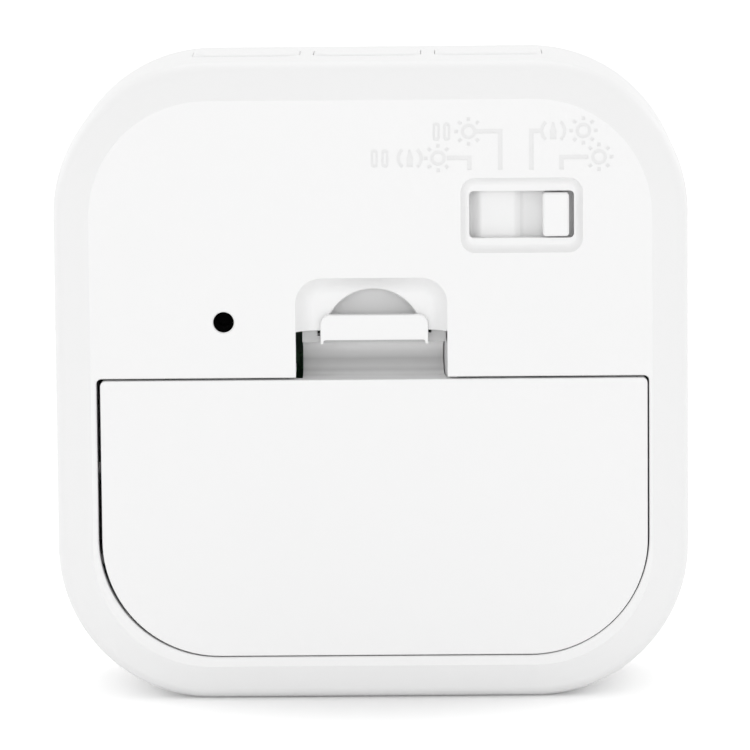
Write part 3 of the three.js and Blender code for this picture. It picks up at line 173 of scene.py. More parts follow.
def round_corners(piece, radius, axis, steps, test=lambda place: True):
    """Bevels the edges that run along an axis, where their middle passes the test."""
    def corner(edge):
        first, second = (vertex.co for vertex in edge.verts)
        return abs((second - first).normalized().dot(axis)) > FACING and test((first + second) / 2)
    choose(piece, "EDGE", corner)
    bpy.ops.mesh.bevel(offset=radius, segments=steps, affect="EDGES", clamp_overlap=False)
    end_edit()


def work_end(piece, direction, steps):
    """Shapes the flat end that faces a direction: each step draws it in, moves it along, or both."""
    ends = [face for face in piece.data.polygons if face.normal.dot(direction) > FACING]
    far = max(face.center.dot(direction) for face in ends)
    choose(piece, "FACE", lambda face: face.normal.dot(direction) > FACING
           and abs(face.calc_center_median().dot(direction) - far) < SAME_PLANE)
    for inset, rise in steps:
        if inset > 0:
            bpy.ops.mesh.inset(thickness=inset, depth=rise)
        else:
            extrude(direction * rise)
    end_edit()


def shares(count):
    return [step / count for step in range(count + 1)]


def differences(places):
    return [(second[0] - first[0], second[1] - first[1]) for first, second in zip(places, places[1:])]


def arc_steps(radius, count, sweep=math.pi / 2):
    """Steps along a round edge that leaves the wall and turns in over the end."""
    angles = [sweep * share for share in shares(count)]
    return differences([(radius * (1 - math.cos(angle)), radius * math.sin(angle)) for angle in angles])


def carve(piece, tool, operation="DIFFERENCE"):
    make_active(piece)
    bpy.ops.object.modifier_add(type="BOOLEAN")
    change = piece.modifiers[-1]
    change.operation = operation
    change.solver = "MANIFOLD"
    change.object = tool
    bpy.ops.object.modifier_apply(modifier=change.name)
    bpy.data.objects.remove(tool)


def fuse(piece, addition):
    carve(piece, addition, "UNION")


def smooth(piece):
    """Drops the slivers that cuts leave, smooths faces between crisp edges and keeps flat faces flat."""
    choose(piece, "FACE", lambda face: True)
    bpy.ops.mesh.dissolve_degenerate(threshold=SLIVER)
    end_edit()
    bpy.ops.object.shade_smooth_by_angle(angle=SMOOTH_ANGLE)
    bpy.ops.object.modifier_add(type="WEIGHTED_NORMAL")
    piece.modifiers[-1].keep_sharp = True
    bpy.ops.object.modifier_apply(modifier=piece.modifiers[-1].name)


def place_of(node):
    low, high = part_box(node)
    return (low + high) / 2


front_low, front_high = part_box("front_bezel")
glass_low, glass_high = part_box("lcd_panel")
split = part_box("rear_housing")[0].y
front_face = front_low.y
front_inside = front_face + FRONT_WALL
window_middle = place_of("display_lens")
board_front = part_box("main_board")[0].y


def glass_block(name, grow, front, back):
    """Block of the display glass's outline, grown all round, between two depths."""
    height = (glass_low.z - grow, glass_high.z + grow)
    return add_block(name, (glass_low.x - grow, glass_high.x + grow), (front, back), height)


def window_block(name, rim, front, back):
    """Rounded block of the display's outline, grown by a rim, between two depths."""
    height = around(window_middle.z, WINDOW[1] / 2 + rim)
    block = add_block(name, around(0, WINDOW[0] / 2 + rim), (front, back), height)
    round_corners(block, WINDOW_RADIUS + rim, BACK, steps=12)
    return block


front_frame = add_block(
    "front_frame", (front_low.x, front_high.x), (front_face + FRONT_EDGE, split - SEAM_GROOVE),
    (front_low.z, front_high.z),
)
round_corners(front_frame, CORNER_RADIUS, BACK, CORNER_STEPS)
work_end(front_frame, FRONT, arc_steps(FRONT_EDGE, count=12))
work_end(front_frame, BACK, [
    (SEAM_GROOVE, SEAM_GROOVE),
    (LIP_INSET - SEAM_GROOVE, 0),
    (0, LIP_HEIGHT),
    (LIP_WALL, 0),
    (0, front_inside - split - LIP_HEIGHT),
])
glass_frame = glass_block(
    "glass_frame", GLASS_ROOM + GLASS_FRAME_WALL, front_inside - PAST, front_inside + GLASS_FRAME_HEIGHT
)
carve(glass_frame, glass_block("glass_room", GLASS_ROOM, front_inside, split))
fuse(front_frame, glass_frame)
for number in (1, 2, 3, 4):
    spot = place_of(f"board_screw_{number}")
    fuse(front_frame, add_peg("boss", BOARD_BOSS, spot, front_inside - PAST, board_front - BOSS_GAP))
    carve(front_frame, add_peg("hole", PILOT, spot, front_inside, board_front, HOLE_SIDES))
for side in SIDES:
    spot = place_of(f"case_screw_{side}")
    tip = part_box(f"case_screw_{side}")[0].y - TIP_ROOM
    fuse(front_frame, add_peg("boss", CASE_BOSS, spot, front_inside - PAST, front_high.y))
    carve(front_frame, add_peg("hole", PILOT, spot, tip, front_high.y + PAST, HOLE_SIDES))
lens_seat = window_block("lens_seat", LENS_SEAT + MOUTH, front_face - PAST, front_face)
work_end(lens_seat, BACK, [(MOUTH, MOUTH), (0, LENS_SEAT_DEPTH - MOUTH)])
carve(front_frame, lens_seat)
carve(front_frame, window_block("window", 0, front_face, front_inside + PAST / 2))
smooth(front_frame)


def add_group(name, inputs, outputs):
    """An effect that several finishes share, with its named sockets."""
    group = bpy.data.node_groups.new(name, "ShaderNodeTree")
    for way, sockets in (("INPUT", inputs), ("OUTPUT", outputs)):
        for label, kind in sockets:
            group.interface.new_socket(label, in_out=way, socket_type=kind)
    return group, group.nodes.new("NodeGroupInput").outputs, group.nodes.new("NodeGroupOutput")


def feed(tree, node, links):
    """Links a node's inputs to sockets, or sets them to values."""
    for label, value in links.items():
        if isinstance(value, bpy.types.NodeSocket):
            tree.links.new(value, node.inputs[label])
        else:
            node.inputs[label].default_value = value


def add_node(tree, kind, links, **settings):
    node = tree.nodes.new(kind)
    for label, value in settings.items():
        setattr(node, label, value)
    feed(tree, node, links)
    return node


def reckon(tree, operation, first, second):
    """The sum, product or the like of two values."""
    return add_node(tree, "ShaderNodeMath", {0: first, 1: second}, operation=operation).outputs[0]


def spread(tree, value, start, end, low=0.0, high=1.0, kind="LINEAR"):
    """A value that runs from low to high while another runs from start to end."""
    return add_node(tree, "ShaderNodeMapRange", {
        "Value": value, "From Min": start, "From Max": end, "To Min": low, "To Max": high,
    }, interpolation_type=kind).outputs["Result"]


def add_noise(tree, place, scale, detail=2.0, roughness=0.5):
    return add_node(tree, "ShaderNodeTexNoise", {
        "Vector": place, "Scale": scale, "Detail": detail, "Roughness": roughness,
    }).outputs["Fac"]


def tinted(tree, colour, level):
    """A colour made darker or lighter by a level."""
    return add_node(
        tree, "ShaderNodeVectorMath", {"Vector": colour, "Scale": level}, operation="SCALE"
    ).outputs["Vector"]


# Fine texture of a moulded surface: spark-eroded grain and a slow drift of tone from the flow of the plastic
DRIFT_SCALE = 38.0
GRAIN_SCALE = 4000.0
GRAIN_DEPTH = 0.004 * MM
EFFECT_OUTPUTS = [
    ("Colour", "NodeSocketColor"), ("Roughness", "NodeSocketFloat"), ("Height", "NodeSocketFloat"),
]
moulded_grain, grain_in, grain_out = add_group("moulded_grain", [
    ("Vector", "NodeSocketVector"), ("Colour", "NodeSocketColor"), ("Drift", "NodeSocketFloat"),
    ("Roughness", "NodeSocketFloat"), ("Grain", "NodeSocketFloat"),
], EFFECT_OUTPUTS)
grain_noise = add_noise(moulded_grain, grain_in["Vector"], grain_in["Grain"], roughness=0.55)
drift_noise = add_noise(moulded_grain, grain_in["Vector"], DRIFT_SCALE, detail=3.0)
drift_share = reckon(moulded_grain, "MULTIPLY", drift_noise, grain_in["Drift"])
drift_level = reckon(moulded_grain, "SUBTRACT", 1.0, drift_share)
rough_spread = spread(moulded_grain, grain_noise, 0, 1, low=-0.06, high=0.06)
feed(moulded_grain, grain_out, {
    "Colour": tinted(moulded_grain, grain_in["Colour"], drift_level),
    "Roughness": reckon(moulded_grain, "ADD", grain_in["Roughness"], rough_spread),
    "Height": grain_noise,
})


def add_material(name):
    material = bpy.data.materials.new(name)
    material.use_nodes = True
    tree = material.node_tree
    shader = tree.nodes["Principled BSDF"]
    place = tree.nodes.new("ShaderNodeTexCoord").outputs["Object"]
    return material, tree, shader, place


def add_bump(tree, shader, height, depth):
    bump = add_node(tree, "ShaderNodeBump", {"Height": height, "Strength": 1.0, "Distance": depth})
    feed(tree, shader, {"Normal": bump.outputs["Normal"]})


def add_effect(tree, shader, place, group, depth, levels):
    """Puts a shared effect into a finish: it varies colour and gloss and adds a fine relief."""
    effect = add_node(tree, "ShaderNodeGroup", {}, node_tree=group)
    feed(tree, effect, {"Vector": place, **levels})
    feed(tree, shader, {"Base Color": effect.outputs["Colour"], "Roughness": effect.outputs["Roughness"]})
    add_bump(tree, shader, effect.outputs["Height"], depth)


def moulded_finish(name, colour, roughness, drift, grain=GRAIN_SCALE, depth=GRAIN_DEPTH):
    material, tree, shader, place = add_material(name)
    add_effect(tree, shader, place, moulded_grain, depth, {
        "Colour": (*colour, 1), "Drift": drift, "Roughness": roughness, "Grain": grain,
    })
    return material


def put_on(piece, material):
    piece.data.materials.clear()
    piece.data.materials.append(material)


SHELL_WHITE = (0.9, 0.9, 0.9)
SHELL_ROUGHNESS = 0.42
SHELL_DRIFT = 0.012
white_shell = moulded_finish("white_shell", SHELL_WHITE, SHELL_ROUGHNESS, SHELL_DRIFT)
put_on(front_frame, white_shell)
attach(front_frame, "case")
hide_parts("front_bezel")


# Display lens
# A clear acrylic plate with a softened front edge, glued flush into its seat in the front frame. A charcoal
# border is printed around the viewing area on its rear face.
LENS_EDGE = 0.3 * MM
BORDER_WIDTH = 2.6 * MM
BORDER_INSET = 0.4 * MM
BORDER_THICKNESS = 0.06 * MM
INK_GAP = 0.02 * MM
INK_DEPTH = 0.0005 * MM
ACRYLIC = (0.97, 0.985, 0.98, 1)
ACRYLIC_IOR = 1.49
CHARCOAL = (0.035, 0.037, 0.04)

lens_low, lens_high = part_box("display_lens")
lens_rim = lens_high.x - WINDOW[0] / 2
lens = window_block("window_lens", lens_rim, lens_low.y + LENS_EDGE, lens_high.y)
work_end(lens, FRONT, arc_steps(LENS_EDGE, count=6))
smooth(lens)
clear_acrylic, tree, shader, place = add_material("clear_acrylic")
smudge = add_noise(tree, place, scale=140.0, detail=4.0)
feed(tree, shader, {
    "Base Color": ACRYLIC, "Transmission Weight": 1, "IOR": ACRYLIC_IOR,
    "Roughness": spread(tree, smudge, start=0.35, end=0.75, low=0.02, high=0.07),
})
put_on(lens, clear_acrylic)
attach(lens, "case")
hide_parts("display_lens")

border_front = lens_high.y + INK_GAP
border_rim = lens_rim - BORDER_INSET
border = window_block("lens_border", border_rim, border_front, border_front + BORDER_THICKNESS)
carve(border, window_block("border_hole", border_rim - BORDER_WIDTH, *around(border_front, PAST)))
smooth(border)
border_ink = moulded_finish(
    "border_ink", CHARCOAL, roughness=0.5, drift=0.05, grain=9000.0, depth=INK_DEPTH
)
put_on(border, border_ink)
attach(border, "case")


# Liquid crystal glass
# Two thin sheets of glass with a grey-green reflector behind them. The seven-bar figures lie between the
# sheets; the bars that are switched off still show as a faint ghost.
FIGURES = "10:00"
BARS_OF = {"0": "abcdef", "1": "bc"}
FIGURE_WIDTH = 6.2 * MM
FIGURE_HEIGHT = 13 * MM
FIGURE_PITCH = 8.7 * MM
FIGURE_GAP = 0.01 * MM
COLON_WIDTH = 3.4 * MM
COLON_DOT = 1.4 * MM
DOT_CORNER = 0.28 * MM
BAR_WIDTH = 1.35 * MM
BAR_POINT = BAR_WIDTH * 0.49
BAR_THICKNESS = 0.04 * MM
BAR_GAP = 0.22 * MM
LCD_GREEN = (0.42, 0.47, 0.39)
LCD_INK = (0.022, 0.026, 0.024)
LCD_GHOST = (0.36, 0.405, 0.335)

bar_reach = FIGURE_WIDTH - BAR_WIDTH
bar_rise = (FIGURE_HEIGHT - BAR_WIDTH) / 2
BAR_PLACES = {
    "a": (0, bar_rise, False), "g": (0, 0, False), "d": (0, -bar_rise, False),
    "f": (-bar_reach / 2, bar_rise / 2, True), "b": (bar_reach / 2, bar_rise / 2, True),
    "e": (-bar_reach / 2, -bar_rise / 2, True), "c": (bar_reach / 2, -bar_rise / 2, True),
}


def copy_of(piece, name, way):
    """A copy of a piece with its own mesh, moved to its place."""
    make_active(piece)
    bpy.ops.object.duplicate()
    bpy.ops.transform.translate(value=way)
    return settle(name)


def join_pieces(name, pieces):
    make_active(pieces[0])
    for piece in pieces:
        piece.select_set(True)
    bpy.ops.object.join()
    return settle(name)


def add_figure_bar(width, height, radius, steps):
    """A flat mark that lies around the frame's origin, with pointed or rounded corners."""
    bar = add_block("bar", around(0, width / 2), around(0, BAR_THICKNESS / 2), around(0, height / 2))
    round_corners(bar, radius, BACK, steps)
    return bar


level_bar = add_figure_bar(bar_reach - BAR_GAP * 2, BAR_WIDTH, BAR_POINT, steps=1)
upright_bar = add_figure_bar(BAR_WIDTH, bar_rise - BAR_GAP * 2, BAR_POINT, steps=1)
colon_dot = add_figure_bar(COLON_DOT, COLON_DOT, DOT_CORNER, steps=4)
lit_bars = []
ghost_bars = []
figure_depth = glass_low.y - BAR_THICKNESS / 2 - FIGURE_GAP
figure_left = -(FIGURE_PITCH * (len(FIGURES) - 1) + COLON_WIDTH) / 2
for figure in FIGURES:
    if figure == ":":
        for rise in (bar_rise / 2, -bar_rise / 2):
            spot = (figure_left + COLON_WIDTH / 2, figure_depth, window_middle.z + rise)
            lit_bars.append(copy_of(colon_dot, "dot", spot))
        figure_left += COLON_WIDTH
        continue
    for letter, (right, rise, upright) in BAR_PLACES.items():
        spot = (figure_left + FIGURE_PITCH / 2 + right, figure_depth, window_middle.z + rise)
        bar = copy_of(upright_bar if upright else level_bar, "bar", spot)
        (lit_bars if letter in BARS_OF[figure] else ghost_bars).append(bar)
    figure_left += FIGURE_PITCH
for pattern in (level_bar, upright_bar, colon_dot):
    bpy.data.objects.remove(pattern)
figures = join_pieces("display_figures", lit_bars)
ghosts = join_pieces("display_ghosts", ghost_bars)
put_on(figures, moulded_finish("figure_ink", LCD_INK, roughness=0.5, drift=0.15, grain=6000.0))
put_on(ghosts, moulded_finish("figure_ghost", LCD_GHOST, roughness=0.5, drift=0.05, grain=6000.0))
for piece in (figures, ghosts):
    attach(piece, "case")


def dress(material, *nodes):
    for node in nodes:
        put_on(frame["nodes"][node], material)


dress(moulded_finish("lcd_reflector", LCD_GREEN, roughness=0.3, drift=0.05, grain=7000.0), "lcd_panel")


# Light guide, lamp and contact strip
# A milky acrylic plate behind the glass, lit from its side by a small lamp. A striped rubber strip presses
# the glass's contacts onto the main board.
MILKY = (0.86, 0.86, 0.83)
STRIPE_RUBBER = (0.05, 0.05, 0.055)

dress(moulded_finish("milky_acrylic", MILKY, roughness=0.5, drift=0.04), "backlight_plate", "backlight_led")
soft_rubber = moulded_finish("soft_rubber", STRIPE_RUBBER, roughness=0.85, drift=0.3, grain=2500.0)
dress(soft_rubber, "zebra_connector", "motor_boot")


# Main board and its parts
# A green glass-fibre board with etched copper under its mask, screwed to the front frame. It carries a chip
# under a black drop of resin, a metal crystal can and the three switches under the buttons.
MASK_GREEN = (0.03, 0.16, 0.06, 1)
TRACE_GREEN = (0.06, 0.26, 0.1, 1)
TRACE_SCALE = 420.0
TRACE_HEIGHT = 0.02 * MM
MIX_FIRST = 6
MIX_SECOND = 7
MIX_RESULT = 2
RESIN_BLACK = (0.012, 0.012, 0.013)
SOUNDER_BLACK = (0.004, 0.004, 0.004)
SOUNDER_SHINE = 0.05


def mix_colours(tree, share, first, second):
    """One colour that turns into another while the share rises from 0 to 1."""
    colours = {0: share, MIX_FIRST: first, MIX_SECOND: second}
    return add_node(tree, "ShaderNodeMix", colours, data_type="RGBA").outputs[MIX_RESULT]


circuit_board, tree, shader, place = add_material("circuit_board")
cells_of_track = add_node(tree, "ShaderNodeTexVoronoi", {"Vector": place, "Scale": TRACE_SCALE},
                          distance="CHEBYCHEV", feature="DISTANCE_TO_EDGE")
track = spread(tree, cells_of_track.outputs["Distance"], start=0.05, end=0.09)
feed(tree, shader, {"Base Color": mix_colours(tree, track, TRACE_GREEN, MASK_GREEN), "Roughness": 0.35})
add_bump(tree, shader, track, TRACE_HEIGHT)
dress(circuit_board, "main_board", "switch_board")
dress(
    moulded_finish("black_plastic", RESIN_BLACK, roughness=0.45, drift=0.25),
    "controller_chip", "tact_switch_left", "tact_switch_middle", "tact_switch_right",
    "plunger_left", "plunger_middle", "plunger_right", "slide_switch_actuator",
)
sounder_black = moulded_finish("sounder_black", SOUNDER_BLACK, roughness=0.9, drift=0.25)
tree = sounder_black.node_tree
feed(tree, tree.nodes["Principled BSDF"], {"Specular IOR Level": SOUNDER_SHINE})
dress(sounder_black, "buzzer")

# Drawn or plated metal: fine streaks along one axis that change its tone and its gloss
STREAK_SCALE = (300.0, 6000.0, 6000.0)
STREAK_DEPTH = 0.002 * MM
drawn_metal, metal_in, metal_out = add_group("drawn_metal", [
    ("Vector", "NodeSocketVector"), ("Colour", "NodeSocketColor"), ("Roughness", "NodeSocketFloat"),
], EFFECT_OUTPUTS)
streak_room = add_node(drawn_metal, "ShaderNodeMapping", {
    "Vector": metal_in["Vector"], "Scale": STREAK_SCALE,
})
streaks = add_noise(drawn_metal, streak_room.outputs["Vector"], scale=1.0, detail=3.0)
streak_tone = spread(drawn_metal, streaks, 0, 1, low=0.86, high=1.08)
streak_rough = spread(drawn_metal, streaks, 0, 1, low=-0.08, high=0.1)
feed(drawn_metal, metal_out, {
    "Colour": tinted(drawn_metal, metal_in["Colour"], streak_tone),
    "Roughness": reckon(drawn_metal, "ADD", metal_in["Roughness"], streak_rough),
    "Height": streaks,
})

NICKEL = (0.66, 0.65, 0.62, 1)
nickel_plate, tree, shader, place = add_material("nickel_plate")
add_effect(tree, shader, place, drawn_metal, STREAK_DEPTH, {"Colour": NICKEL, "Roughness": 0.26})
feed(tree, shader, {"Metallic": 1})
dress(
    nickel_plate, "crystal", "board_screw_1", "board_screw_2", "board_screw_3", "board_screw_4",
    "switch_screw_1", "switch_screw_2", "slide_switch_body", "vibration_motor", "motor_weight",
    "positive_contact", "negative_contact", "bridge_contact",
)


# Rear housing
# The deep half of the case: side walls and back in one white ABS moulding, with a flat bevel around the
# back face. The battery tray, the finger scoop, the switch's frame, the screw towers and the marks are all
# moulded in.
SIDE_WALL = 1.8 * MM
BACK_WALL = 2 * MM
BEVEL_RUN = 2.7 * MM
BEVEL_DEPTH = 1.5 * MM
BACK_EDGE = 2.7 * MM
SEAT_GAP = 0.2 * MM
RUN_GAP = 0.3 * MM

house_low, house_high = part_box("rear_housing")
back_face = house_high.y
back_inside = back_face - BACK_WALL
edge_sweep = math.pi / 2 - math.atan2(BEVEL_DEPTH, BEVEL_RUN)
edge_depth = BACK_EDGE * math.sin(edge_sweep)
edge_run = BACK_EDGE * (1 - math.cos(edge_sweep))
edge_start = back_face - BEVEL_DEPTH - edge_depth
flat_inset = edge_run + BEVEL_RUN
cavity_run = flat_inset + SIDE_WALL / 3 - SIDE_WALL

housing = add_block(
    "rear_case", (house_low.x, house_high.x), (split + SEAM_GROOVE, edge_start), (house_low.z, house_high.z)
)
round_corners(housing, CORNER_RADIUS, BACK, CORNER_STEPS)
work_end(housing, BACK, arc_steps(BACK_EDGE, count=10, sweep=edge_sweep) + [(BEVEL_RUN, BEVEL_DEPTH)])
work_end(housing, FRONT, [
    (SEAM_GROOVE, SEAM_GROOVE),
    (SIDE_WALL - SEAM_GROOVE, 0),
    (0, split - edge_start),
    (cavity_run, edge_start - back_inside),
])

# The door's opening, its seat and the tray for the cells
DOOR_SIDE_MARGIN = 0.6 * MM
DOOR_FOOT_MARGIN = 1.05 * MM
DOOR_HEIGHT = 31.2 * MM
OPENING_WIDER = 0.23 * MM
FOOT_SOFTER = 0.9 * MM
DOOR_TOP_RADIUS = 0.6 * MM
DOOR_THICKNESS = 1.6 * MM
SEAT_THICKNESS = 1.5 * MM
SEAT_OVERLAP = 1.2 * MM
SHADOW_SLOT_OUT = 0.3 * MM
SHADOW_SLOT_IN = 0.7 * MM
TRAY_WALL = 1 * MM
TRAY_FLOOR = 1.2 * MM
TRAY_ROOM = 0.3 * MM
RIB = 1.2 * MM
RIB_PLACE = 6 * MM
DIVIDER_RISE = 1.8 * MM
DIVIDER_EDGE = 0.48 * MM
SPRING_ROOM = 5 * MM
TAIL_HALF = 1.5 * MM

opening_high = house_high.x - flat_inset - DOOR_SIDE_MARGIN
opening_low = -opening_high - OPENING_WIDER
opening_bottom = flat_inset + DOOR_FOOT_MARGIN
opening_top = opening_bottom + DOOR_HEIGHT
opening_middle = (opening_bottom + opening_top) / 2
opening_foot = CORNER_RADIUS - flat_inset - DOOR_SIDE_MARGIN + FOOT_SOFTER
door_inside = back_face - DOOR_THICKNESS
seat_face = door_inside - SEAT_GAP
seat_front = seat_face - SEAT_THICKNESS
lower_cell_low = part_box("cell_lower")[0]
tray_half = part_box("positive_contact")[1].x + SEAT_GAP
tray_bottom = lower_cell_low.z - TRAY_ROOM
tray_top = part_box("cell_upper")[1].z + TRAY_ROOM
tray_floor = lower_cell_low.y - TRAY_ROOM
tray_front = tray_floor - TRAY_FLOOR


def opening_block(name, grow, front, back):
    """Block of the door opening's outline, grown all round, between two depths."""
    height = (opening_bottom - grow, opening_top + grow)
    block = add_block(name, (opening_low - grow, opening_high + grow), (front, back), height)
    round_corners(block, opening_foot + grow, BACK, CORNER_STEPS, lambda spot: spot.z < opening_middle)
    round_corners(block, DOOR_TOP_RADIUS + grow, BACK, steps=10, test=lambda spot: spot.z > opening_middle)
    return block


fuse(housing, opening_block("seat", SEAT_OVERLAP, seat_front, back_inside + PAST))
fuse(housing, add_block(
    "tray", around(0, tray_half + TRAY_WALL), (tray_front, seat_face - SEAT_THICKNESS / 2),
    (tray_bottom - TRAY_WALL, tray_top + TRAY_WALL),
))
rib_depth = (tray_front, edge_start - PAST)
for side in (-1, 1):
    reach = sorted((side * tray_half, side * (house_high.x - SIDE_WALL / 2)))
    for height in (tray_bottom + RIB_PLACE, tray_top - RIB_PLACE):
        fuse(housing, add_block("rib", reach, rib_depth, around(height, RIB / 2)))
    foot = around(side * tray_half / 2, RIB / 2)
    fuse(housing, add_block("rib", foot, rib_depth, (SIDE_WALL / 2, tray_bottom)))

# Towers for the two case screws, under the door
TOWER_WALL = 0.8 * MM
TOWER_BORE = 2.1 * MM
TOWER_FOOT = 1.5 * MM
tower_end = front_high.y + SEAT_GAP
for side in SIDES:
    spot = place_of(f"case_screw_{side}")
    fuse(housing, add_peg("tower", TOWER_BORE + TOWER_WALL, spot, tower_end, seat_face - PAST / 2))

# Walls of the finger scoop and of its half-moon pocket, above the door's latch
LATCH_LOW = -8.4 * MM
LATCH_HIGH = 8.32 * MM
LATCH_REACH = 5.05 * MM
SCOOP_HEIGHT = 5.95 * MM
SCOOP_DEPTH = 1.5 * MM
SCOOP_SKIN = 1.5 * MM
POCKET_RADIUS = 5.4 * MM
POCKET_DROP = 0.82 * MM
POCKET_DEPTH = 4.2 * MM
POCKET_SHIFT = -0.25 * MM

lip = opening_top + LATCH_REACH
scoop_top = lip + SCOOP_HEIGHT
pocket_spot = Vector((POCKET_SHIFT, 0, lip - POCKET_DROP))
fuse(housing, add_block(
    "scoop_floor", (LATCH_LOW - SCOOP_SKIN, LATCH_HIGH + SCOOP_SKIN),
    (back_face - SCOOP_DEPTH - SCOOP_SKIN, back_inside + PAST), (lip, scoop_top + SCOOP_SKIN),
))
pocket_cup = add_peg(
    "pocket_cup", POCKET_RADIUS + SCOOP_SKIN, pocket_spot,
    back_face - POCKET_DEPTH - SCOOP_SKIN, back_inside, sides=64,
)
carve(pocket_cup, add_block("cup_waste", (2 * LATCH_LOW, 2 * LATCH_HIGH), (front_face, back_face), (0, lip)))
fuse(housing, pocket_cup)

# Posts and rails of the slide switch, ring of the sounder and cradle of the motor, inside the back wall
POST_RADIUS = 1.7 * MM
RAIL = 1 * MM
RAIL_HEIGHT = 1.6 * MM
RING_WALL = 1 * MM
RING_HEIGHT = 4 * MM
CRADLE_RIB = 1.4 * MM

post_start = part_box("switch_board")[1].y + SEAT_GAP
for number in (1, 2):
    spot = place_of(f"switch_screw_{number}")
    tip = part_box(f"switch_screw_{number}")[1].y
    fuse(housing, add_peg("post", POST_RADIUS, spot, post_start, back_inside + PAST, sides=32))
    carve(housing, add_peg("hole", PILOT, spot, post_start - PAST, tip, HOLE_SIDES))
slider_low, slider_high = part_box("mode_slider")
ranges = {joint["name"]: joint.get("range_m") for joint in frame["joints"]}
slide_travel = ranges["mode_slide"][1]
for low in (slider_high.z + RUN_GAP, slider_low.z - RUN_GAP - RAIL):
    fuse(housing, add_block(
        "rail", (slider_low.x - RUN_GAP, slider_high.x + slide_travel),
        (back_inside - RAIL_HEIGHT, back_inside + PAST), (low, low + RAIL),
    ))
buzzer_spot = place_of("buzzer")
buzzer_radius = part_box("buzzer")[1].x - buzzer_spot.x + SEAT_GAP
ring_start = back_inside - RING_HEIGHT
ring = add_peg("ring", buzzer_radius + RING_WALL, buzzer_spot, ring_start, back_inside + PAST, sides=64)
carve(ring, add_peg("ring_room", buzzer_radius, buzzer_spot, ring_start - PAST, back_inside, sides=64))
fuse(housing, ring)
boot_low, boot_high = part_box("motor_boot")
boot_spot = place_of("motor_boot")
boot_radius = boot_high.z - boot_spot.z + SEAT_GAP
bore_ends = [(x, boot_spot.y, boot_spot.z) for x in (boot_low.x - PAST, boot_high.x + PAST)]
for middle in (boot_low.x + CRADLE_RIB / 2, boot_high.x - CRADLE_RIB / 2):
    cradle = add_block(
        "cradle", around(middle, CRADLE_RIB / 2), (boot_spot.y, back_inside + PAST),
        (boot_low.z - CRADLE_RIB, boot_high.z + CRADLE_RIB),
    )
    carve(cradle, add_bar("bore", boot_radius, *bore_ends))
    fuse(housing, cradle)

# Cuts: the door's opening with an open slot around its seat, the tray, the screw bores and the hinge pockets
door_cut = opening_block("door_cut", MOUTH, back_face, back_face + PAST)
work_end(door_cut, FRONT, [(MOUTH, MOUTH), (0, back_face - seat_face - MOUTH)])
carve(housing, door_cut)
slot_ring = opening_block("slot_ring", SHADOW_SLOT_OUT, seat_front - PAST / 2, seat_face + SEAT_GAP / 2)
carve(slot_ring, opening_block("slot_core", -SHADOW_SLOT_IN, front_face, back_face))
carve(housing, slot_ring)
tray_depth = (tray_floor, back_face + PAST)
carve(housing, add_block("tray_room", around(0, tray_half), tray_depth, (tray_bottom, tray_top)))
divider = add_block(
    "divider", around(0, tray_half - SPRING_ROOM), (tray_floor - TRAY_FLOOR / 2, tray_floor + DIVIDER_RISE),
    around((tray_bottom + tray_top) / 2, RIB / 2),
)
round_corners(divider, DIVIDER_EDGE, SIDEWAYS, steps=4, test=lambda spot: spot.y > tray_floor)
fuse(housing, divider)
for contact in ("positive_contact", "negative_contact"):
    carve(housing, add_block(
        "tail_slot", (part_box(contact)[0].x - RUN_GAP, tray_half), (tray_front - PAST, tray_floor + PAST),
        around(place_of(contact).z, TAIL_HALF),
    ))
for side in SIDES:
    spot = place_of(f"case_screw_{side}")
    carve(housing, add_peg("bore", TOWER_BORE, spot, tower_end + TOWER_FOOT, back_face))
    carve(housing, add_peg("pilot", PILOT, spot, tower_end - PAST, back_face, HOLE_SIDES))

DOOR_SHIFT = -0.12 * MM
FOOT_X = 13 * MM
FOOT_WIDTH = 8 * MM
FOOT_REACH = 1.5 * MM
FOOT_RISE = 1.2 * MM
FOOT_THICKNESS = 1.1 * MM
DOOR_FOOT_GAP = 0.14 * MM
DOOR_TOP_GAP = 0.25 * MM
DOOR_OPEN = math.radians(45)
door_bottom = opening_bottom + DOOR_FOOT_GAP
door_top = opening_top - DOOR_TOP_GAP
foot_back = back_inside - RUN_GAP
foot_front = foot_back - FOOT_THICKNESS
foot_depth = back_face - foot_front
feet = around(DOOR_SHIFT, FOOT_X)
pocket_top = door_bottom + foot_depth * math.sin(DOOR_OPEN) + FOOT_RISE * math.cos(DOOR_OPEN) + RUN_GAP
pocket_bottom = opening_bottom - FOOT_REACH - RUN_GAP
pocket_front = back_face - math.hypot(foot_depth, FOOT_REACH + DOOR_FOOT_GAP) - RUN_GAP
for middle in feet:
    width = around(middle, FOOT_WIDTH / 2 + RUN_GAP)
    carve(housing, add_block("under_wall", width, (pocket_front, back_inside), (pocket_bottom, pocket_top)))
    behind_door = (pocket_front, back_inside + PAST)
    carve(housing, add_block("behind_door", width, behind_door, (opening_bottom, pocket_top)))

# Cuts of the latch: its way through the back with one slanted side, the finger scoop and the pocket
LATCH_CUT_DEPTH = 8 * MM
LATCH_WALL = 0.9 * MM
DRAFT = 0.5 * MM
DRAFT_START = 12.3 * MM
SCOOP_CORNER = 2.9 * MM
SCOOP_SLOPE = 1.9 * MM
latch_front = back_face - LATCH_CUT_DEPTH
latch_height = (door_top - LATCH_WALL - RUN_GAP, lip)


def draft_wedge(name, gap):
    """Slanted side of the latch's cut-out, thicker towards the inside of the case."""
    wedge = add_block(name, (LATCH_LOW - PAST, LATCH_LOW + gap), (latch_front, DRAFT_START), latch_height)
    choose(wedge, "EDGE", lambda edge: all(
        vertex.co.x > LATCH_LOW - PAST / 2 and vertex.co.y < latch_front + PAST / 2 for vertex in edge.verts
    ))
    bpy.ops.transform.translate(value=(DRAFT, 0, 0))
    end_edit()
    return wedge


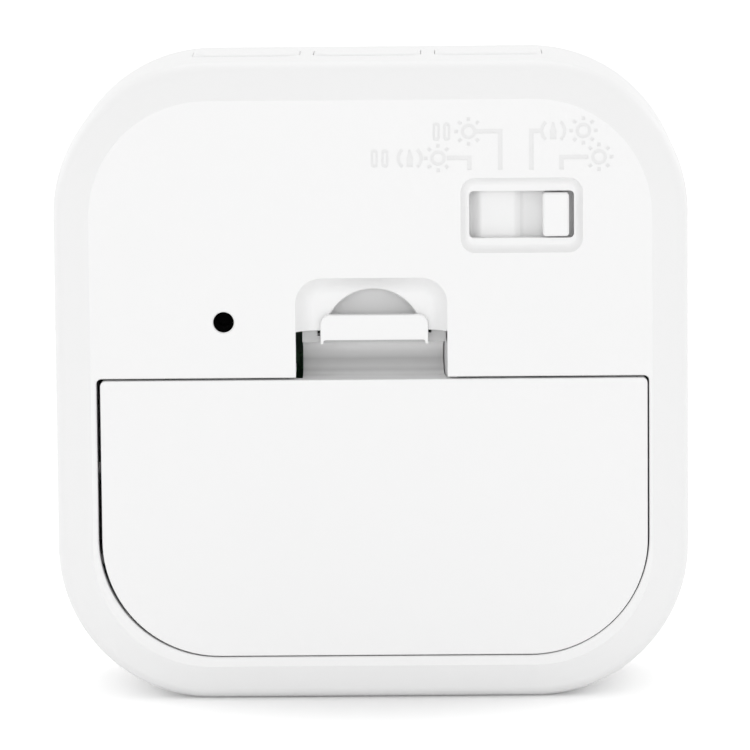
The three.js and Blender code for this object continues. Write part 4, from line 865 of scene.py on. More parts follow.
def bowl_steps(run, depth, count):
    """Steps of a wall that drops crisply from the face and runs out softly into its floor."""
    return differences([(run * share, depth * share * (2 - share)) for share in shares(count)])


latch_width = (LATCH_LOW, LATCH_HIGH)
carve(housing, add_block("latch_cut", latch_width, (latch_front, back_face + PAST), latch_height))
fuse(housing, draft_wedge("draft", 0))
scoop = add_block(
    "scoop", latch_width, (back_face, back_face + PAST), (lip - SCOOP_SLOPE - SCOOP_CORNER, scoop_top)
)
round_corners(scoop, SCOOP_CORNER, BACK, steps=16)
work_end(scoop, FRONT, bowl_steps(SCOOP_SLOPE, SCOOP_DEPTH, count=16))
carve(housing, scoop)
pocket = add_peg("pocket", POCKET_RADIUS + MOUTH, pocket_spot, back_face - SCOOP_DEPTH, back_face, sides=96)
work_end(pocket, FRONT, [(MOUTH, MOUTH), (0, POCKET_DEPTH - SCOOP_DEPTH - MOUTH)])
carve(housing, pocket)

# Sunken frame and window of the slide switch
KNOB_WIDTH = 2.9 * MM
KNOB_HEIGHT = 4.8 * MM
KNOB_END_GAP = 0.55 * MM
KNOB_SIDE_GAP = 0.2 * MM
SWITCH_SHIFT = 0.58 * MM
SWITCH_DROP = 0.22 * MM
SWITCH_RIM = 0.9 * MM
SWITCH_SIDE_LEDGE = 0.05 * MM
SWITCH_TOP_LEDGE = 0.63 * MM
SWITCH_RIM_DEPTH = 0.9 * MM
SWITCH_RIM_RADIUS = 1.6 * MM
SWITCH_WINDOW_RADIUS = 0.5 * MM

knob_x = slider_low.x + KNOB_WIDTH / 2 + SWITCH_SHIFT
switch_x = knob_x + slide_travel / 2
switch_z = place_of("slide_switch_body").z - SWITCH_DROP


def switch_block(name, wider, taller, radius, front, back):
    """Rounded block of the switch window's outline, grown in width and height, between two depths."""
    width = around(switch_x, (KNOB_WIDTH + slide_travel) / 2 + KNOB_END_GAP + wider)
    height = around(switch_z, KNOB_HEIGHT / 2 + KNOB_SIDE_GAP + taller)
    block = add_block(name, width, (front, back), height)
    round_corners(block, radius, BACK, steps=10)
    return block


switch_frame = switch_block(
    "switch_frame", SWITCH_SIDE_LEDGE + SWITCH_RIM, SWITCH_TOP_LEDGE + SWITCH_RIM, SWITCH_RIM_RADIUS,
    back_face, back_face + PAST,
)
work_end(switch_frame, FRONT, bowl_steps(SWITCH_RIM, SWITCH_RIM_DEPTH, count=12))
carve(housing, switch_frame)
carve(housing, switch_block("switch_window", 0, 0, SWITCH_WINDOW_RADIUS, back_inside - PAST, back_face))

# Sound hole and the openings for the buttons
SOUND_HOLE = 1.14 * MM
SOUND_HOLE_DROP = 0.3 * MM
SOUND_SKIN = 0.35 * MM
SOUND_ROOM = 2.4 * MM
BUTTONS = ("left", "middle", "right")
BUTTON_RADIUS = 2 * MM
BUTTON_SHIFT = 0.3 * MM
BUTTON_MOUTH = 0.06 * MM
FLANGE_REACH = 0.7 * MM

hole_spot = buzzer_spot - UP * SOUND_HOLE_DROP
sound_hole = add_peg("sound_hole", SOUND_HOLE + MOUTH, hole_spot, back_face, back_face + PAST)
work_end(sound_hole, FRONT, [(MOUTH, MOUTH), (0, BACK_WALL + PAST / 2)])
carve(housing, sound_hole)
carve(housing, add_peg("sound_room", SOUND_ROOM, hole_spot, back_inside - PAST, back_face - SOUND_SKIN))
button_low, button_high = [corner + SIDEWAYS * BUTTON_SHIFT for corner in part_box("button_left")]
button_ways = [place_of(f"button_{name}") - place_of("button_left") for name in BUTTONS]


def button_block(name, grow, height):
    """Rounded block of the first button's outline, grown all round, between two heights."""
    depth = (button_low.y + FLANGE_REACH - grow, button_high.y - FLANGE_REACH + grow)
    block = add_block(name, (button_low.x - grow, button_high.x + grow), depth, height)
    round_corners(block, BUTTON_RADIUS + grow, UP, steps=10)
    return block


opening = button_block("button_opening", RUN_GAP + BUTTON_MOUTH, (house_high.z, house_high.z + PAST))
work_end(opening, -UP, [(BUTTON_MOUTH, BUTTON_MOUTH), (0, SIDE_WALL + PAST)])
for way in button_ways:
    carve(housing, copy_of(opening, "button_opening", way))
bpy.data.objects.remove(opening)

# Marks sunk into the back face: a line from each place of the switch to signs for light, sound and shaking
MARK_DEPTH = 0.12 * MM
LINE_WIDTH = 0.5 * MM
STROKE = 0.36 * MM
LINE_FOOT = 59.15 * MM
LOW_ROW = 60.5 * MM
HIGH_ROW = 63.4 * MM
LINES = ((-10.92, LOW_ROW, 2.2), (-14.3, HIGH_ROW, 2.4), (-17.7, HIGH_ROW, -1.0), (-21.0, LOW_ROW, -2.6))
LIGHTS = ((-10.85, HIGH_ROW), (-7.5, LOW_ROW), (-23.4, HIGH_ROW), (-25.1, LOW_ROW))
SOUNDS = ((-4.4, LOW_ROW), (-20.1, HIGH_ROW))
SHAKES = ((-7.9, HIGH_ROW), (-1.1, LOW_ROW))
LAMP_RADIUS = 0.85 * MM
RAY_NEAR = 1.15 * MM
RAY_LENGTH = 0.4 * MM
RAY_COUNT = 8
HORN_HALF = 0.35 * MM
HORN_RISE = 0.95 * MM
HORN_TAPER = 0.3
WAVE_RADIUS = 1.25 * MM
WAVE_SWEEP = math.radians(48)
SHAKE_PITCH = 1.15 * MM
SHAKE_RISE = 1.0 * MM
SHAKE_HALF = 0.38 * MM
SHAKE_CORNER = SHAKE_HALF * 0.8
SHAKE_STROKE = STROKE * 0.7
mark_floor = back_face - MARK_DEPTH
mark_top = back_face + PAST / 2


def mark_block(across, height):
    return add_block("mark", across, (mark_floor, mark_top), height)


def face_outward():
    bpy.ops.mesh.select_all(action="SELECT")
    bpy.ops.mesh.normals_make_consistent(inside=False)
    end_edit()


def mark_wave(spot, side):
    """A curved stroke beside a spot: a short block whose two ends are spun around it."""
    stroke = mark_block(around(spot.x + side * WAVE_RADIUS, STROKE / 2), around(spot.z, STROKE / 8))
    pivot = (spot.x, back_face, spot.z)
    for way in (1, -1):
        choose(stroke, "FACE", lambda face: face.normal.z * way > FACING)
        bpy.ops.mesh.spin(steps=8, angle=side * way * WAVE_SWEEP, center=pivot, axis=BACK)
        face_outward()
    return stroke


def sink_sign(strokes, places):
    """Sinks a sign into the back face at the first place, where it is modelled, and copies at the others."""
    copies = [copy_of(stroke, "mark", place - places[0]) for place in places[1:] for stroke in strokes]
    for mark in strokes + copies:
        carve(housing, mark)


for x, row, reach in LINES:
    bend = row - LINE_WIDTH / 2
    turn = SIDEWAYS if reach > 0 else -SIDEWAYS
    line = mark_block(around(x * MM, LINE_WIDTH / 2), (LINE_FOOT, row + LINE_WIDTH / 2))
    choose(line, "FACE", lambda face: True)
    bpy.ops.mesh.bisect(plane_co=(0, 0, bend), plane_no=UP)
    end_edit()
    choose(line, "FACE", lambda face: face.normal.dot(turn) > FACING and face.calc_center_median().z > bend)
    extrude(turn * abs(reach * MM))
    end_edit()
    carve(housing, line)
lights, sounds, shakes = [
    [Vector((x * MM, 0, row)) for x, row in places] for places in (LIGHTS, SOUNDS, SHAKES)
]
spot = lights[0]
lamp = add_peg("mark", LAMP_RADIUS, spot, mark_floor, mark_top, sides=32)
carve(lamp, add_peg("core", LAMP_RADIUS - STROKE, spot, front_face, mark_top + PAST, sides=32))
light_sign = [lamp]
for number in range(RAY_COUNT):
    mark_block(around(spot.x, STROKE / 2), (spot.z + RAY_NEAR, spot.z + RAY_NEAR + RAY_LENGTH))
    bpy.ops.transform.rotate(
        value=2 * math.pi * number / RAY_COUNT, orient_axis="Y", center_override=(spot.x, back_face, spot.z)
    )
    light_sign.append(settle("mark"))
sink_sign(light_sign, lights)
spot = sounds[0]
horn = mark_block(around(spot.x, HORN_HALF), (spot.z - HORN_RISE, spot.z))
choose(horn, "FACE", lambda face: face.normal.z > FACING)
extrude(UP * HORN_RISE)
bpy.ops.transform.resize(value=(HORN_TAPER, 1, 1), center_override=(spot.x, back_face, spot.z))
end_edit()
sink_sign([horn, mark_wave(spot, -1), mark_wave(spot, 1)], sounds)
spot = shakes[0]
shake_sign = []
for middle in around(spot.x, SHAKE_PITCH / 2):
    outline = mark_block(around(middle, SHAKE_HALF), around(spot.z, SHAKE_RISE))
    round_corners(outline, SHAKE_CORNER, BACK, steps=5)
    carve(outline, add_block(
        "core", around(middle, SHAKE_HALF - SHAKE_STROKE), (front_face, mark_top + PAST),
        around(spot.z, SHAKE_RISE - STROKE),
    ))
    shake_sign.append(outline)
sink_sign(shake_sign, shakes)

# Plus and minus signs sunk into the seat beside the cells; the marks in the back have a rougher, eroded
# floor with a slightly darker painted shade
MARK_SHADE_TONE = (0.87, 0.87, 0.87)
SIGN = 1.7 * MM
SIGN_STROKE = 0.45 * MM
signs = []
sign_x = (tray_half + TRAY_WALL + opening_high - SHADOW_SLOT_IN) / 2
sign_depth = (seat_face - MARK_DEPTH * 2, back_face)
for cell, plus_side in (("cell_upper", 1), ("cell_lower", -1)):
    height = place_of(cell).z
    for side in (-1, 1):
        middle = side * sign_x
        sign = add_block("sign", around(middle, SIGN / 2), sign_depth, around(height, SIGN_STROKE / 2))
        if side == plus_side:
            fuse(sign, add_block(
                "sign", around(middle, SIGN_STROKE / 2), sign_depth, around(height, SIGN / 2)
            ))
        signs.append(sign)
carve(housing, join_pieces("signs", signs))
smooth(housing)


def paint_faces(piece, material, test):
    """Gives a second finish to the faces that pass the test."""
    piece.data.materials.append(material)
    for face in piece.data.polygons:
        if test(face):
            face.material_index = 1


put_on(housing, white_shell)
# The floors of the marks in the back get a rougher finish and a slightly darker painted shade
eroded_mark_painted_shade = moulded_finish("eroded_mark_painted_shade", MARK_SHADE_TONE, roughness=0.7, drift=0.05, grain=9000.0)
paint_faces(housing, eroded_mark_painted_shade, lambda face: face.normal.y > FACING
            and abs(face.center.y - mark_floor) < MARK_DEPTH / 10)
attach(housing, "case")
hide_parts("rear_housing")


# Buttons
# Three white ABS push buttons in a row along the top edge, each with a soft edge and a slight dish for the
# finger. A flange below keeps each one in its opening, and its stem stands over a small switch on the
# board.
CROWN = 0.5 * MM
CAP_GROW = 0.27 * MM
DISH = [(0.4 * MM, -0.02 * MM), (0.4 * MM, -0.03 * MM), (0.4 * MM, -0.015 * MM)]
FLANGE_THICKNESS = 1.2 * MM
FLANGE_INSET = 1 * MM
STEM_RADIUS = 1.4 * MM

flange_top = house_high.z - SIDE_WALL - SEAT_GAP
flange_height = (flange_top - FLANGE_THICKNESS, flange_top)
button = button_block("push_button_left", CAP_GROW, (flange_height[0], button_high.z - CROWN))
work_end(button, UP, arc_steps(CROWN, count=8) + DISH)
flange_width = (button_low.x + FLANGE_INSET, button_high.x - FLANGE_INSET)
fuse(button, add_block("flange", flange_width, (button_low.y, button_high.y), flange_height))
plunger = place_of("plunger_left")
stem_ends = [(plunger.x, plunger.y, z) for z in (button_low.z, flange_top - FLANGE_THICKNESS / 2)]
fuse(button, add_bar("stem", STEM_RADIUS, *stem_ends, sides=32))
smooth(button)
button_white = moulded_finish("button_white", SHELL_WHITE, roughness=0.38, drift=SHELL_DRIFT)
put_on(button, button_white)
buttons = [button]
for name, way in zip(BUTTONS[1:], button_ways[1:]):
    buttons.append(copy_of(button, f"push_button_{name}", way))
for name, button in zip(BUTTONS, buttons):
    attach(button, f"{name}_button")
    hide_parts(f"button_{name}")


# Slide switch knob
# A white ABS moulding: a square knob on a thin sunk cover with a raised pad, which keeps the window closed
# wherever the knob stands. It rides between two rails inside the back wall, and a socket on its inside
# grips the switch's lever. The cover's floor has a rougher finish and is painted a darker grey for shade.
KNOB_SINK = 0.3 * MM
KNOB_EDGE = 0.3 * MM
KNOB_CORNER = 0.39 * MM
COVER_THICKNESS = 1 * MM
COVER_SINK = 0.5 * MM
PAD_PLACE = 6.35 * MM
PAD_WIDTH = 5.95 * MM
PAD_SLOPE = 1.3 * MM
PAD_STEPS = 10
PAD_SIDE_GAP = RUN_GAP / 4
SOCKET_WALL = 0.8 * MM
FLOOR_SHADE_TONE = (0.85, 0.85, 0.85)
SHADED_FLOOR_RISE = 0.2 * MM
PARTLY_FACING = 0.5

cover_back = back_inside - RUN_GAP
cover_front = cover_back - COVER_THICKNESS
cover_floor = cover_back - COVER_SINK
pad_x = knob_x + PAD_PLACE
knob = add_block(
    "mode_knob", around(knob_x, KNOB_WIDTH / 2), (cover_front, back_face - KNOB_SINK - KNOB_EDGE),
    around(switch_z, KNOB_HEIGHT / 2),
)
round_corners(knob, KNOB_CORNER, BACK, steps=6)
work_end(knob, BACK, arc_steps(KNOB_EDGE, count=6))
cover_width = (slider_low.x, slider_high.x + SWITCH_SHIFT)
fuse(knob, add_block("cover", cover_width, (cover_front, cover_floor), (slider_low.z, slider_high.z)))
pad = add_block(
    "pad", around(pad_x, PAD_WIDTH / 2), (cover_front + COVER_THICKNESS / 5, cover_floor),
    (slider_low.z - PAD_SLOPE, slider_high.z + PAD_SLOPE),
)
work_end(pad, BACK, differences([
    (PAD_SLOPE * share, COVER_SINK * share * share * (3 - 2 * share)) for share in shares(PAD_STEPS)
]))
pad_height = (slider_low.z + PAD_SIDE_GAP, slider_high.z - PAD_SIDE_GAP)
pad_room = add_block("pad_room", around(pad_x, PAD_WIDTH), (cover_front, back_face), pad_height)
carve(pad, pad_room, "INTERSECT")
fuse(knob, pad)
lever = place_of("slide_switch_actuator")
room_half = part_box("slide_switch_actuator")[1].x - lever.x + RUN_GAP
socket_half = room_half + SOCKET_WALL
socket_depth = (slider_low.y, cover_front + COVER_THICKNESS / 4)
fuse(knob, add_block("socket", around(lever.x, socket_half), socket_depth, around(lever.z, socket_half)))
room_depth = (slider_low.y - PAST, cover_front)
carve(knob, add_block("socket_room", around(lever.x, room_half), room_depth, around(lever.z, room_half)))
smooth(knob)


def floor_shade_faces(face):
    """Flat faces of the cover's floor, and the foot of the pad's slope towards the knob, which get painted
    shade.
    """
    slope_foot = face.normal.y > PARTLY_FACING and face.center.x < pad_x
    return (face.normal.y > FACING or slope_foot) and abs(face.center.y - cover_floor) < SHADED_FLOOR_RISE


put_on(knob, button_white)
# The cover's floor gets a rougher finish and a darker painted shade
paint_faces(knob, moulded_finish("rough_floor_painted_shade", FLOOR_SHADE_TONE, roughness=0.6, drift=0.06), floor_shade_faces)
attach(knob, "slider")
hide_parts("mode_slider")


# Leads
# Vinyl-covered wires and a flat ribbon, soldered at both ends, that join the board to the cells' contacts,
# the sounder, the motor and the slide switch.
RED = (0.42, 0.02, 0.018)
BLACK = (0.015, 0.015, 0.016)
GREY = (0.3, 0.31, 0.33)

dress(moulded_finish("red_vinyl", RED, roughness=0.4, drift=0.2), "positive_lead", "motor_lead")
dress(moulded_finish("black_vinyl", BLACK, roughness=0.4, drift=0.2), "negative_lead", "buzzer_lead")
dress(moulded_finish("grey_vinyl", GREY, roughness=0.5, drift=0.15), "switch_ribbon")


# Case screws
# Two nickel-plated pan-head screws with cross slots, at the bottom of the towers under the battery door.
# They draw the front frame against the rear housing.
SCREW_HEAD = 1.2 * MM
SCREW_HEAD_ROUND = 0.5 * MM
SCREW_HEAD_SWEEP = math.radians(80)
SCREW_RADIUS = 1 * MM
CROSS_WIDTH = 0.55 * MM
CROSS_DEPTH = 0.6 * MM
CROSS_REACH = 1.15 * MM

screw_low, screw_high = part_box("case_screw_left")
spot = place_of("case_screw_left")
head_radius = screw_high.x - spot.x
head_front = screw_high.y - SCREW_HEAD
screw = add_peg("pan_head_screw_left", head_radius, spot, head_front, screw_high.y - SCREW_HEAD_ROUND)
work_end(screw, BACK, arc_steps(SCREW_HEAD_ROUND, count=6, sweep=SCREW_HEAD_SWEEP))
work_end(screw, FRONT, [
    (head_radius - SCREW_RADIUS, 0), (0, head_front - screw_low.y - PAST), (PAST / 2, PAST),
])
cross_depth = (screw_high.y - CROSS_DEPTH, screw_high.y + PAST)
for wide, tall in ((CROSS_REACH, CROSS_WIDTH / 2), (CROSS_WIDTH / 2, CROSS_REACH)):
    carve(screw, add_block("slot", around(spot.x, wide), cross_depth, around(spot.z, tall)))
smooth(screw)
put_on(screw, nickel_plate)
other_screw = copy_of(screw, "pan_head_screw_right", place_of("case_screw_right") - spot)
for side, screw in zip(SIDES, (screw, other_screw)):
    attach(screw, "case")
    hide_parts(f"case_screw_{side}")


# Battery springs
# Cone-shaped springs of nickel-plated wire that press on the flat end of each cell. One is soldered to the
# bridge plate, the other to the negative contact.
WIRE = 0.6 * MM
WIRE_ANGLE = math.radians(40)
SPRING_TURNS = 3.5
SPRING_BASE = 3.4 * MM
SPRING_TIP = 1.9 * MM
SPRING_POINTS = 24

for node, way in (("bridge_spring", 1), ("negative_spring", -1)):
    low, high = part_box(node)
    base_x = low.x if way > 0 else high.x
    middle = place_of("cell_upper" if way > 0 else "cell_lower")
    bpy.ops.curve.primitive_nurbs_path_add()
    path = bpy.context.object
    path.data.splines.clear()
    spline = path.data.splines.new("POLY")
    count = int(SPRING_TURNS * SPRING_POINTS)
    spline.points.add(count)
    for point, share in zip(spline.points, shares(count)):
        radius = SPRING_BASE + (SPRING_TIP - SPRING_BASE) * share
        angle = 2 * math.pi * SPRING_TURNS * share
        along = WIRE / 2 + (high.x - low.x - WIRE) * share
        turn = way * radius * math.cos(angle)
        point.co = (base_x + way * along, middle.y + turn, middle.z + radius * math.sin(angle), 1)
    path.data.dimensions = "3D"
    path.data.bevel_depth = WIRE / 2
    path.data.bevel_resolution = 3
    path.data.use_fill_caps = True
    make_active(path)
    bpy.ops.object.convert(target="MESH")
    bpy.ops.object.shade_smooth_by_angle(angle=WIRE_ANGLE)
    spring = settle(f"coiled_{node}")
    put_on(spring, nickel_plate)
    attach(spring, "case")
    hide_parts(node)


# Cells
# Two AAA cells, head to tail. Each is a steel can in a plain printed sleeve, shrunk over its shoulders,
# with a copper-coloured band and a steel nub at the positive end.
SLEEVE_GREY = (0.045, 0.05, 0.055, 1)
SLEEVE_DEPTH = 0.004 * MM
BAND_COPPER = (0.5, 0.24, 0.1, 1)
BAND_LENGTH = 11
BAND_BLUR = 0.05
SHOULDER = 0.4 * MM
FLAT_END_GROOVE = [(0.5 * MM, -0.15 * MM), (0.3 * MM, 0.15 * MM)]
FACE_RUN = 0.4 * MM
FACE_SINK = 0.25 * MM
NUB_RADIUS = 1.9 * MM
NUB_HEIGHT = 0.8 * MM
NUB_EDGE = 0.2 * MM
SLEEVE_LAP = 0.2 * MM
NUB_ROOM = 0.05 * MM


def sleeve_finish(name, plus_end, way):
    """Printed sleeve: dark, with a metallic band at the positive end."""
    material, tree, shader, place = add_material(name)
    axes = add_node(tree, "ShaderNodeSeparateXYZ", {"Vector": place})
    from_end = reckon(tree, "ADD", axes.outputs["X"], -plus_end)
    distance = reckon(tree, "MULTIPLY", from_end, -way / MM)
    band = spread(tree, distance, BAND_LENGTH, BAND_LENGTH - BAND_BLUR)
    speckle = add_noise(tree, place, scale=900.0, detail=3.0)
    feed(tree, shader, {
        "Base Color": mix_colours(tree, band, SLEEVE_GREY, BAND_COPPER), "Metallic": band,
        "Roughness": spread(tree, speckle, 0, 1, low=0.22, high=0.4),
    })
    add_bump(tree, shader, speckle, SLEEVE_DEPTH)
    return material


for name, way in (("upper", 1), ("lower", -1)):
    low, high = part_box(f"cell_{name}")
    spot = place_of(f"cell_{name}")
    radius = high.z - spot.z
    rim = radius - SHOULDER
    plus_end, flat_end = (high.x, low.x) if way > 0 else (low.x, high.x)
    can_ends = (flat_end + way * SHOULDER, plus_end - way * (NUB_HEIGHT + SHOULDER))
    cell = add_bar(
        f"sleeved_cell_{name}", radius, *[(end, spot.y, spot.z) for end in can_ends], sides=64
    )
    work_end(cell, -way * SIDEWAYS, arc_steps(SHOULDER, count=5) + FLAT_END_GROOVE)
    work_end(cell, way * SIDEWAYS, arc_steps(SHOULDER, count=5) + [
        (FACE_RUN, -FACE_SINK), (rim - FACE_RUN - NUB_RADIUS, 0), (0, NUB_HEIGHT - NUB_EDGE + FACE_SINK),
        (NUB_EDGE, NUB_EDGE),
    ])
    smooth(cell)

    def bare_steel(face):
        from_axis = math.hypot(face.center.y - spot.y, face.center.z - spot.z)
        on_end = abs(face.normal.x) > PARTLY_FACING and from_axis < rim - SLEEVE_LAP
        return on_end or from_axis < NUB_RADIUS + NUB_ROOM

    put_on(cell, sleeve_finish(f"cell_sleeve_{name}", plus_end, way))
    paint_faces(cell, nickel_plate, bare_steel)
    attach(cell, "case")
    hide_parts(f"cell_{name}")


# Battery door with its spring latch
# A flat white ABS panel that fills the opening flush with the back. Two feet hook under its lower edge, and
# at the top a tongue bends in a U into the case and comes out again as the tab that is pressed down to free
# the door.
PANEL_EDGE = 0.14 * MM
FOOT_EDGE = 0.3 * MM
INNER_RIB = 0.3 * MM
INNER_RIB_EDGE = 0.24 * MM
INNER_RIB_SHARE = 0.8
LATCH_DEPTH = 7 * MM
LATCH_LIP_GAP = 0.5 * MM
TONGUE_LOW = -8.27 * MM
TONGUE_HIGH = 7.6 * MM
EAR_GAP = 0.06 * MM
EAR_THICKNESS = 0.8 * MM
EAR_EDGE = 0.15 * MM
TAB_LOW = -6.28 * MM
TAB_HIGH = 5.57 * MM
TAB_REACH = 2.33 * MM
TAB_THICKNESS = 1 * MM
TAB_CORNER = 1.1 * MM
TAB_SINK = 0.2 * MM
TAB_EDGE = 0.15 * MM
TAB_FOOT = 0.3 * MM
TAB_RAISE = 0.48 * MM
NOTCH_WIDTH = 0.36 * MM
NOTCH_SHALLOW = 0.4 * MM
NOTCH_DEEP = 0.7 * MM

door = add_block(
    "hinged_battery_door", (opening_low + RUN_GAP + DOOR_SHIFT, opening_high - RUN_GAP + DOOR_SHIFT),
    (door_inside, back_face - PANEL_EDGE), (door_bottom, door_top),
)
door_middle = (door_bottom + door_top) / 2
panel_heart = door_inside + DOOR_THICKNESS / 2
round_corners(door, opening_foot - RUN_GAP, BACK, CORNER_STEPS, lambda spot: spot.z < door_middle)
round_corners(door, DOOR_TOP_RADIUS, BACK, steps=10, test=lambda spot: spot.z > door_middle)
work_end(door, BACK, arc_steps(PANEL_EDGE, count=4))
foot_top = door_bottom + FOOT_RISE
for middle in feet:
    width = around(middle, FOOT_WIDTH / 2)
    fuse(door, add_block("root", width, (foot_front, panel_heart), (door_bottom + RUN_GAP, foot_top)))
    foot = add_block("foot", width, (foot_front, foot_back), (opening_bottom - FOOT_REACH, foot_top))
    round_corners(foot, FOOT_EDGE, SIDEWAYS, steps=4, test=lambda spot: spot.z < opening_bottom)
    fuse(door, foot)
for cell in ("cell_upper", "cell_lower"):
    rib = add_block(
        "rib", around(0, tray_half * INNER_RIB_SHARE), (door_inside - INNER_RIB, panel_heart),
        around(place_of(cell).z, RIB / 2),
    )
    round_corners(rib, INNER_RIB_EDGE, SIDEWAYS, steps=3, test=lambda spot: spot.y < door_inside)
    fuse(door, rib)

outer_leg_top = lip - LATCH_LIP_GAP
outer_leg_bottom = outer_leg_top - LATCH_WALL
bend_middle = (door_top + outer_leg_bottom) / 2
bend_radius = (outer_leg_bottom - door_top) / 2
bend_depth = back_face - LATCH_DEPTH + LATCH_WALL + bend_radius
ear_back = back_inside - SEAT_GAP
ear_front = ear_back - EAR_THICKNESS
tongue_width = (TONGUE_LOW, TONGUE_HIGH)
tongue_root = (bend_depth, door_inside + DOOR_THICKNESS / 4)
tongue = add_block("tongue", tongue_width, tongue_root, (door_top - LATCH_WALL, door_top))
choose(tongue, "FACE", lambda face: face.normal.y < -FACING)
bpy.ops.mesh.spin(steps=24, angle=math.pi, center=(0, bend_depth, bend_middle), axis=SIDEWAYS)
extrude((0, ear_back - bend_depth, 0))
face_outward()
ear_height = (outer_leg_bottom + LATCH_WALL / 3, lip - EAR_GAP)
ears = add_block("ears", tongue_width, (ear_front, ear_back), ear_height)
round_corners(
    ears, EAR_EDGE, SIDEWAYS, steps=3,
    test=lambda spot: spot.z > outer_leg_top and spot.y > ear_back - PAST / 4,
)
fuse(tongue, ears)
carve(tongue, draft_wedge("draft_gap", TONGUE_LOW - LATCH_LOW))
left_notch = (TAB_LOW - NOTCH_WIDTH, TAB_LOW)
right_notch = (TAB_HIGH, TAB_HIGH + NOTCH_WIDTH)
for width, depth in ((left_notch, NOTCH_SHALLOW), (right_notch, NOTCH_DEEP)):
    carve(tongue, add_block("notch", width, (ear_back - PAST, back_face), (lip - depth, lip + PAST)))
fuse(door, tongue)
tab_back = back_face - TAB_SINK
tab_width = (TAB_LOW, TAB_HIGH)
riser_depth = (ear_front, tab_back - TAB_EDGE * 2)
fuse(door, add_block("riser", tab_width, riser_depth, (outer_leg_bottom, outer_leg_top)))
tab = add_block(
    "tab", tab_width, (tab_back - TAB_THICKNESS, tab_back - TAB_EDGE),
    (outer_leg_bottom, outer_leg_top + TAB_REACH),
)
round_corners(tab, TAB_CORNER, BACK, steps=8, test=lambda spot: spot.z > outer_leg_top)
work_end(tab, BACK, arc_steps(TAB_EDGE, count=4))
fuse(door, tab)
under_tab = add_block(
    "under_tab", (TAB_LOW + TAB_FOOT, TAB_HIGH - TAB_FOOT), (ear_back, back_face + PAST),
    (outer_leg_bottom - PAST / 2, outer_leg_bottom + TAB_RAISE),
)
round_corners(under_tab, TAB_FOOT, BACK, steps=4, test=lambda spot: spot.z > outer_leg_bottom)
carve(door, under_tab)
smooth(door)

# The part of the tongue that lies sunk in the recess is painted with shade: dark grey on the ears, and soft
# grey bands of painted shade and painted highlight along the valley
EAR_SHADE_GREY = (0.54, 0.54, 0.54, 1)
VALLEY_PAINTED_HIGHLIGHT = (0.93, 0.93, 0.93, 1)
VALLEY_SHADE_BANDS = ((0.1, 0.61), (0.2, 0.66), (0.4, 0.46), (0.8, 0.93))
SHADE_TOP = 12.35 * MM
SHADE_FULL = 11.95 * MM
door_white_painted_shade, tree, shader, place = add_material("door_white_painted_shade")
axes = add_node(tree, "ShaderNodeSeparateXYZ", {"Vector": place}).outputs
sunk = spread(tree, axes["Y"], SHADE_TOP, SHADE_FULL, kind="SMOOTHSTEP")
above = spread(tree, axes["Z"], door_top - LATCH_WALL / 2, door_top - LATCH_WALL / 4)
valley = spread(tree, axes["Z"], door_top, outer_leg_bottom)
# Bands of painted shade, with lighter bands of painted highlight, down the tongue's valley
valley_painted_shade = add_node(tree, "ShaderNodeValToRGB", {"Fac": valley})
shade_stops = valley_painted_shade.color_ramp.elements
shade_stops[0].color = VALLEY_PAINTED_HIGHLIGHT
shade_stops[1].color = VALLEY_PAINTED_HIGHLIGHT
for share, tone in VALLEY_SHADE_BANDS:
    shade_stops.new(share).color = (tone, tone, tone, 1)
outward = spread(tree, axes["Y"], bend_depth, ear_front)
upper = spread(tree, axes["Z"], bend_middle, outer_leg_bottom)
ear_shade_share = reckon(tree, "MULTIPLY", outward, upper)
# The ears are painted a darker grey for the shade they lie in
tongue_painted_shade = mix_colours(tree, ear_shade_share, valley_painted_shade.outputs["Color"], EAR_SHADE_GREY)
painted_shade_share = reckon(tree, "MULTIPLY", sunk, above)
add_effect(tree, shader, place, moulded_grain, GRAIN_DEPTH, {
    "Colour": mix_colours(tree, painted_shade_share, (*SHELL_WHITE, 1), tongue_painted_shade),
    "Drift": SHELL_DRIFT, "Roughness": SHELL_ROUGHNESS, "Grain": GRAIN_SCALE,
})
put_on(door, door_white_painted_shade)
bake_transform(door)
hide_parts("battery_door", "door_latch")


# Floor and light
# A plain white sheet under the timer and an even white room around it. A soft lamp stands low behind the
# camera, and one above and two at the sides stand beyond the timer. For the rays that see it the sheet is
# lifted to white, and it keeps the timer's shadow. Near the timer the lift is weaker, which paints a soft
# darker shadow around its foot.
FLOOR_SIZE = 6.0
LIFT_IN_PAINTED_SHADOW = 0.06
LIFT_FAR = 0.32
PAINTED_SHADOW_FADE_START = 12 * MM
PAINTED_SHADOW_FADE_END = 34 * MM
PAINTED_SHADOW_SHAPE = (0.85, 1, 1)
ROOM_LIGHT = 0.805
WHITE = (1, 1, 1, 1)
LAMPS = (
    ("low_lamp", Vector((0.0, 0.9, 0.05)), 0.5, 2.2),
    ("high_lamp", Vector((0.0, -0.36, 0.74)), 0.5, 0.8),
    ("left_lamp", Vector((0.6, -0.4, 0.3)), 0.4, 0.65),
    ("right_lamp", Vector((-0.6, -0.4, 0.3)), 0.4, 0.65),
)


def seen_rays(tree):
    """1 for the rays that see the background itself: from the camera, in a reflection or through glass."""
    rays = tree.nodes.new("ShaderNodeLightPath").outputs
    first = reckon(tree, "MAXIMUM", rays["Is Camera Ray"], rays["Is Glossy Ray"])
    return reckon(tree, "MAXIMUM", first, rays["Is Transmission Ray"])


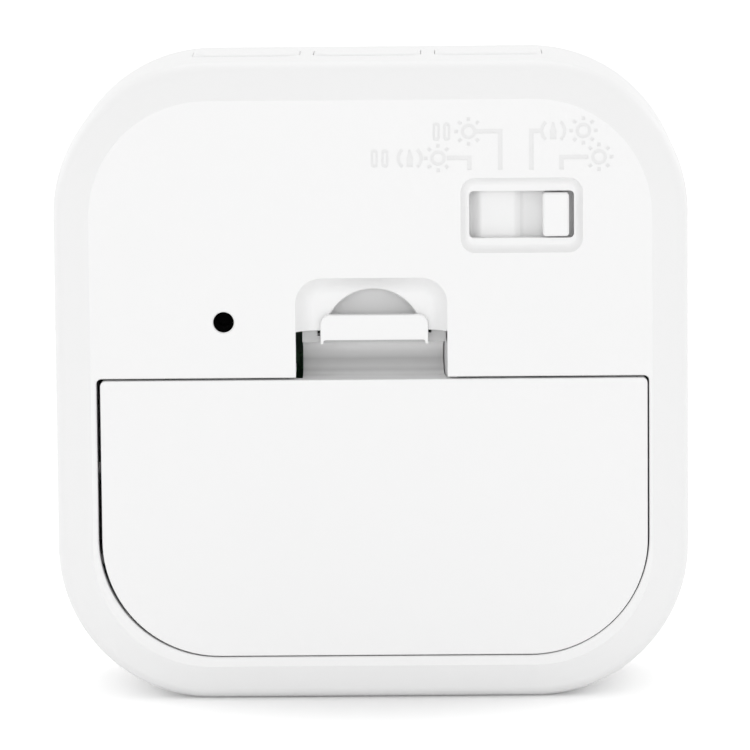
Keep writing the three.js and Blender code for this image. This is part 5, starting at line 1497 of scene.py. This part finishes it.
bpy.ops.mesh.primitive_grid_add(x_subdivisions=4, y_subdivisions=4, size=FLOOR_SIZE)
floor = settle("floor")
floor_sheet, tree, shader, place = add_material("floor_sheet")
oval = add_node(tree, "ShaderNodeVectorMath", {0: place, 1: PAINTED_SHADOW_SHAPE}, operation="MULTIPLY")
away = add_node(tree, "ShaderNodeVectorMath", {0: oval.outputs[0]}, operation="LENGTH").outputs["Value"]
# The lift is weaker near the timer: a painted shadow around its foot
lift_with_painted_shadow = spread(tree, away, PAINTED_SHADOW_FADE_START, PAINTED_SHADOW_FADE_END, LIFT_IN_PAINTED_SHADOW, LIFT_FAR, "SMOOTHSTEP")
feed(tree, shader, {
    "Base Color": spread(tree, add_noise(tree, place, scale=30.0), 0, 1, low=0.92, high=0.94),
    "Roughness": 0.9, "Specular IOR Level": 0.1, "Emission Color": WHITE,
    "Emission Strength": reckon(tree, "MULTIPLY", seen_rays(tree), lift_with_painted_shadow),
})
put_on(floor, floor_sheet)

world = bpy.data.worlds.new("white_room")
bpy.context.scene.world = world
world.use_nodes = True
room = world.node_tree
light = add_node(room, "ShaderNodeBackground", {"Color": WHITE, "Strength": ROOM_LIGHT})
seen = add_node(room, "ShaderNodeBackground", {"Color": WHITE, "Strength": 1.0})
pick = add_node(room, "ShaderNodeMixShader", {0: seen_rays(room), 1: light.outputs[0], 2: seen.outputs[0]})
feed(room, room.nodes["World Output"], {"Surface": pick.outputs[0]})

middle = (cad_box[0] + cad_box[1]) / 2
for name, spot, size, power in LAMPS:
    bpy.ops.object.light_add(type="AREA", location=spot)
    lamp = bpy.context.object
    lamp.name = name
    lamp.data.size = size
    lamp.data.energy = power
    lamp.visible_camera = False
    lamp.rotation_euler = (middle - spot).to_track_quat("-Z", "Y").to_euler()
bpy.context.scene.view_settings.view_transform = "Standard"


# Camera
# It stands behind the timer and a little above it, with a long lens, as in the photograph. The whole timer
# is in focus.
CAMERA_PLACE = Vector((-6.343, 606.704, 118.061)) * MM
CAMERA_TURN = (82.174, 0.502, -179.494)
FOCAL_LENGTH = 261.145
SENSOR_WIDTH = 36
CLIP_START = 10 * MM

bpy.ops.object.camera_add(location=CAMERA_PLACE, rotation=[math.radians(angle) for angle in CAMERA_TURN])
camera = bpy.context.object
camera.name = "photo_camera"
camera.data.lens = FOCAL_LENGTH
camera.data.sensor_width = SENSOR_WIDTH
camera.data.clip_start = CLIP_START
bpy.context.scene.camera = camera
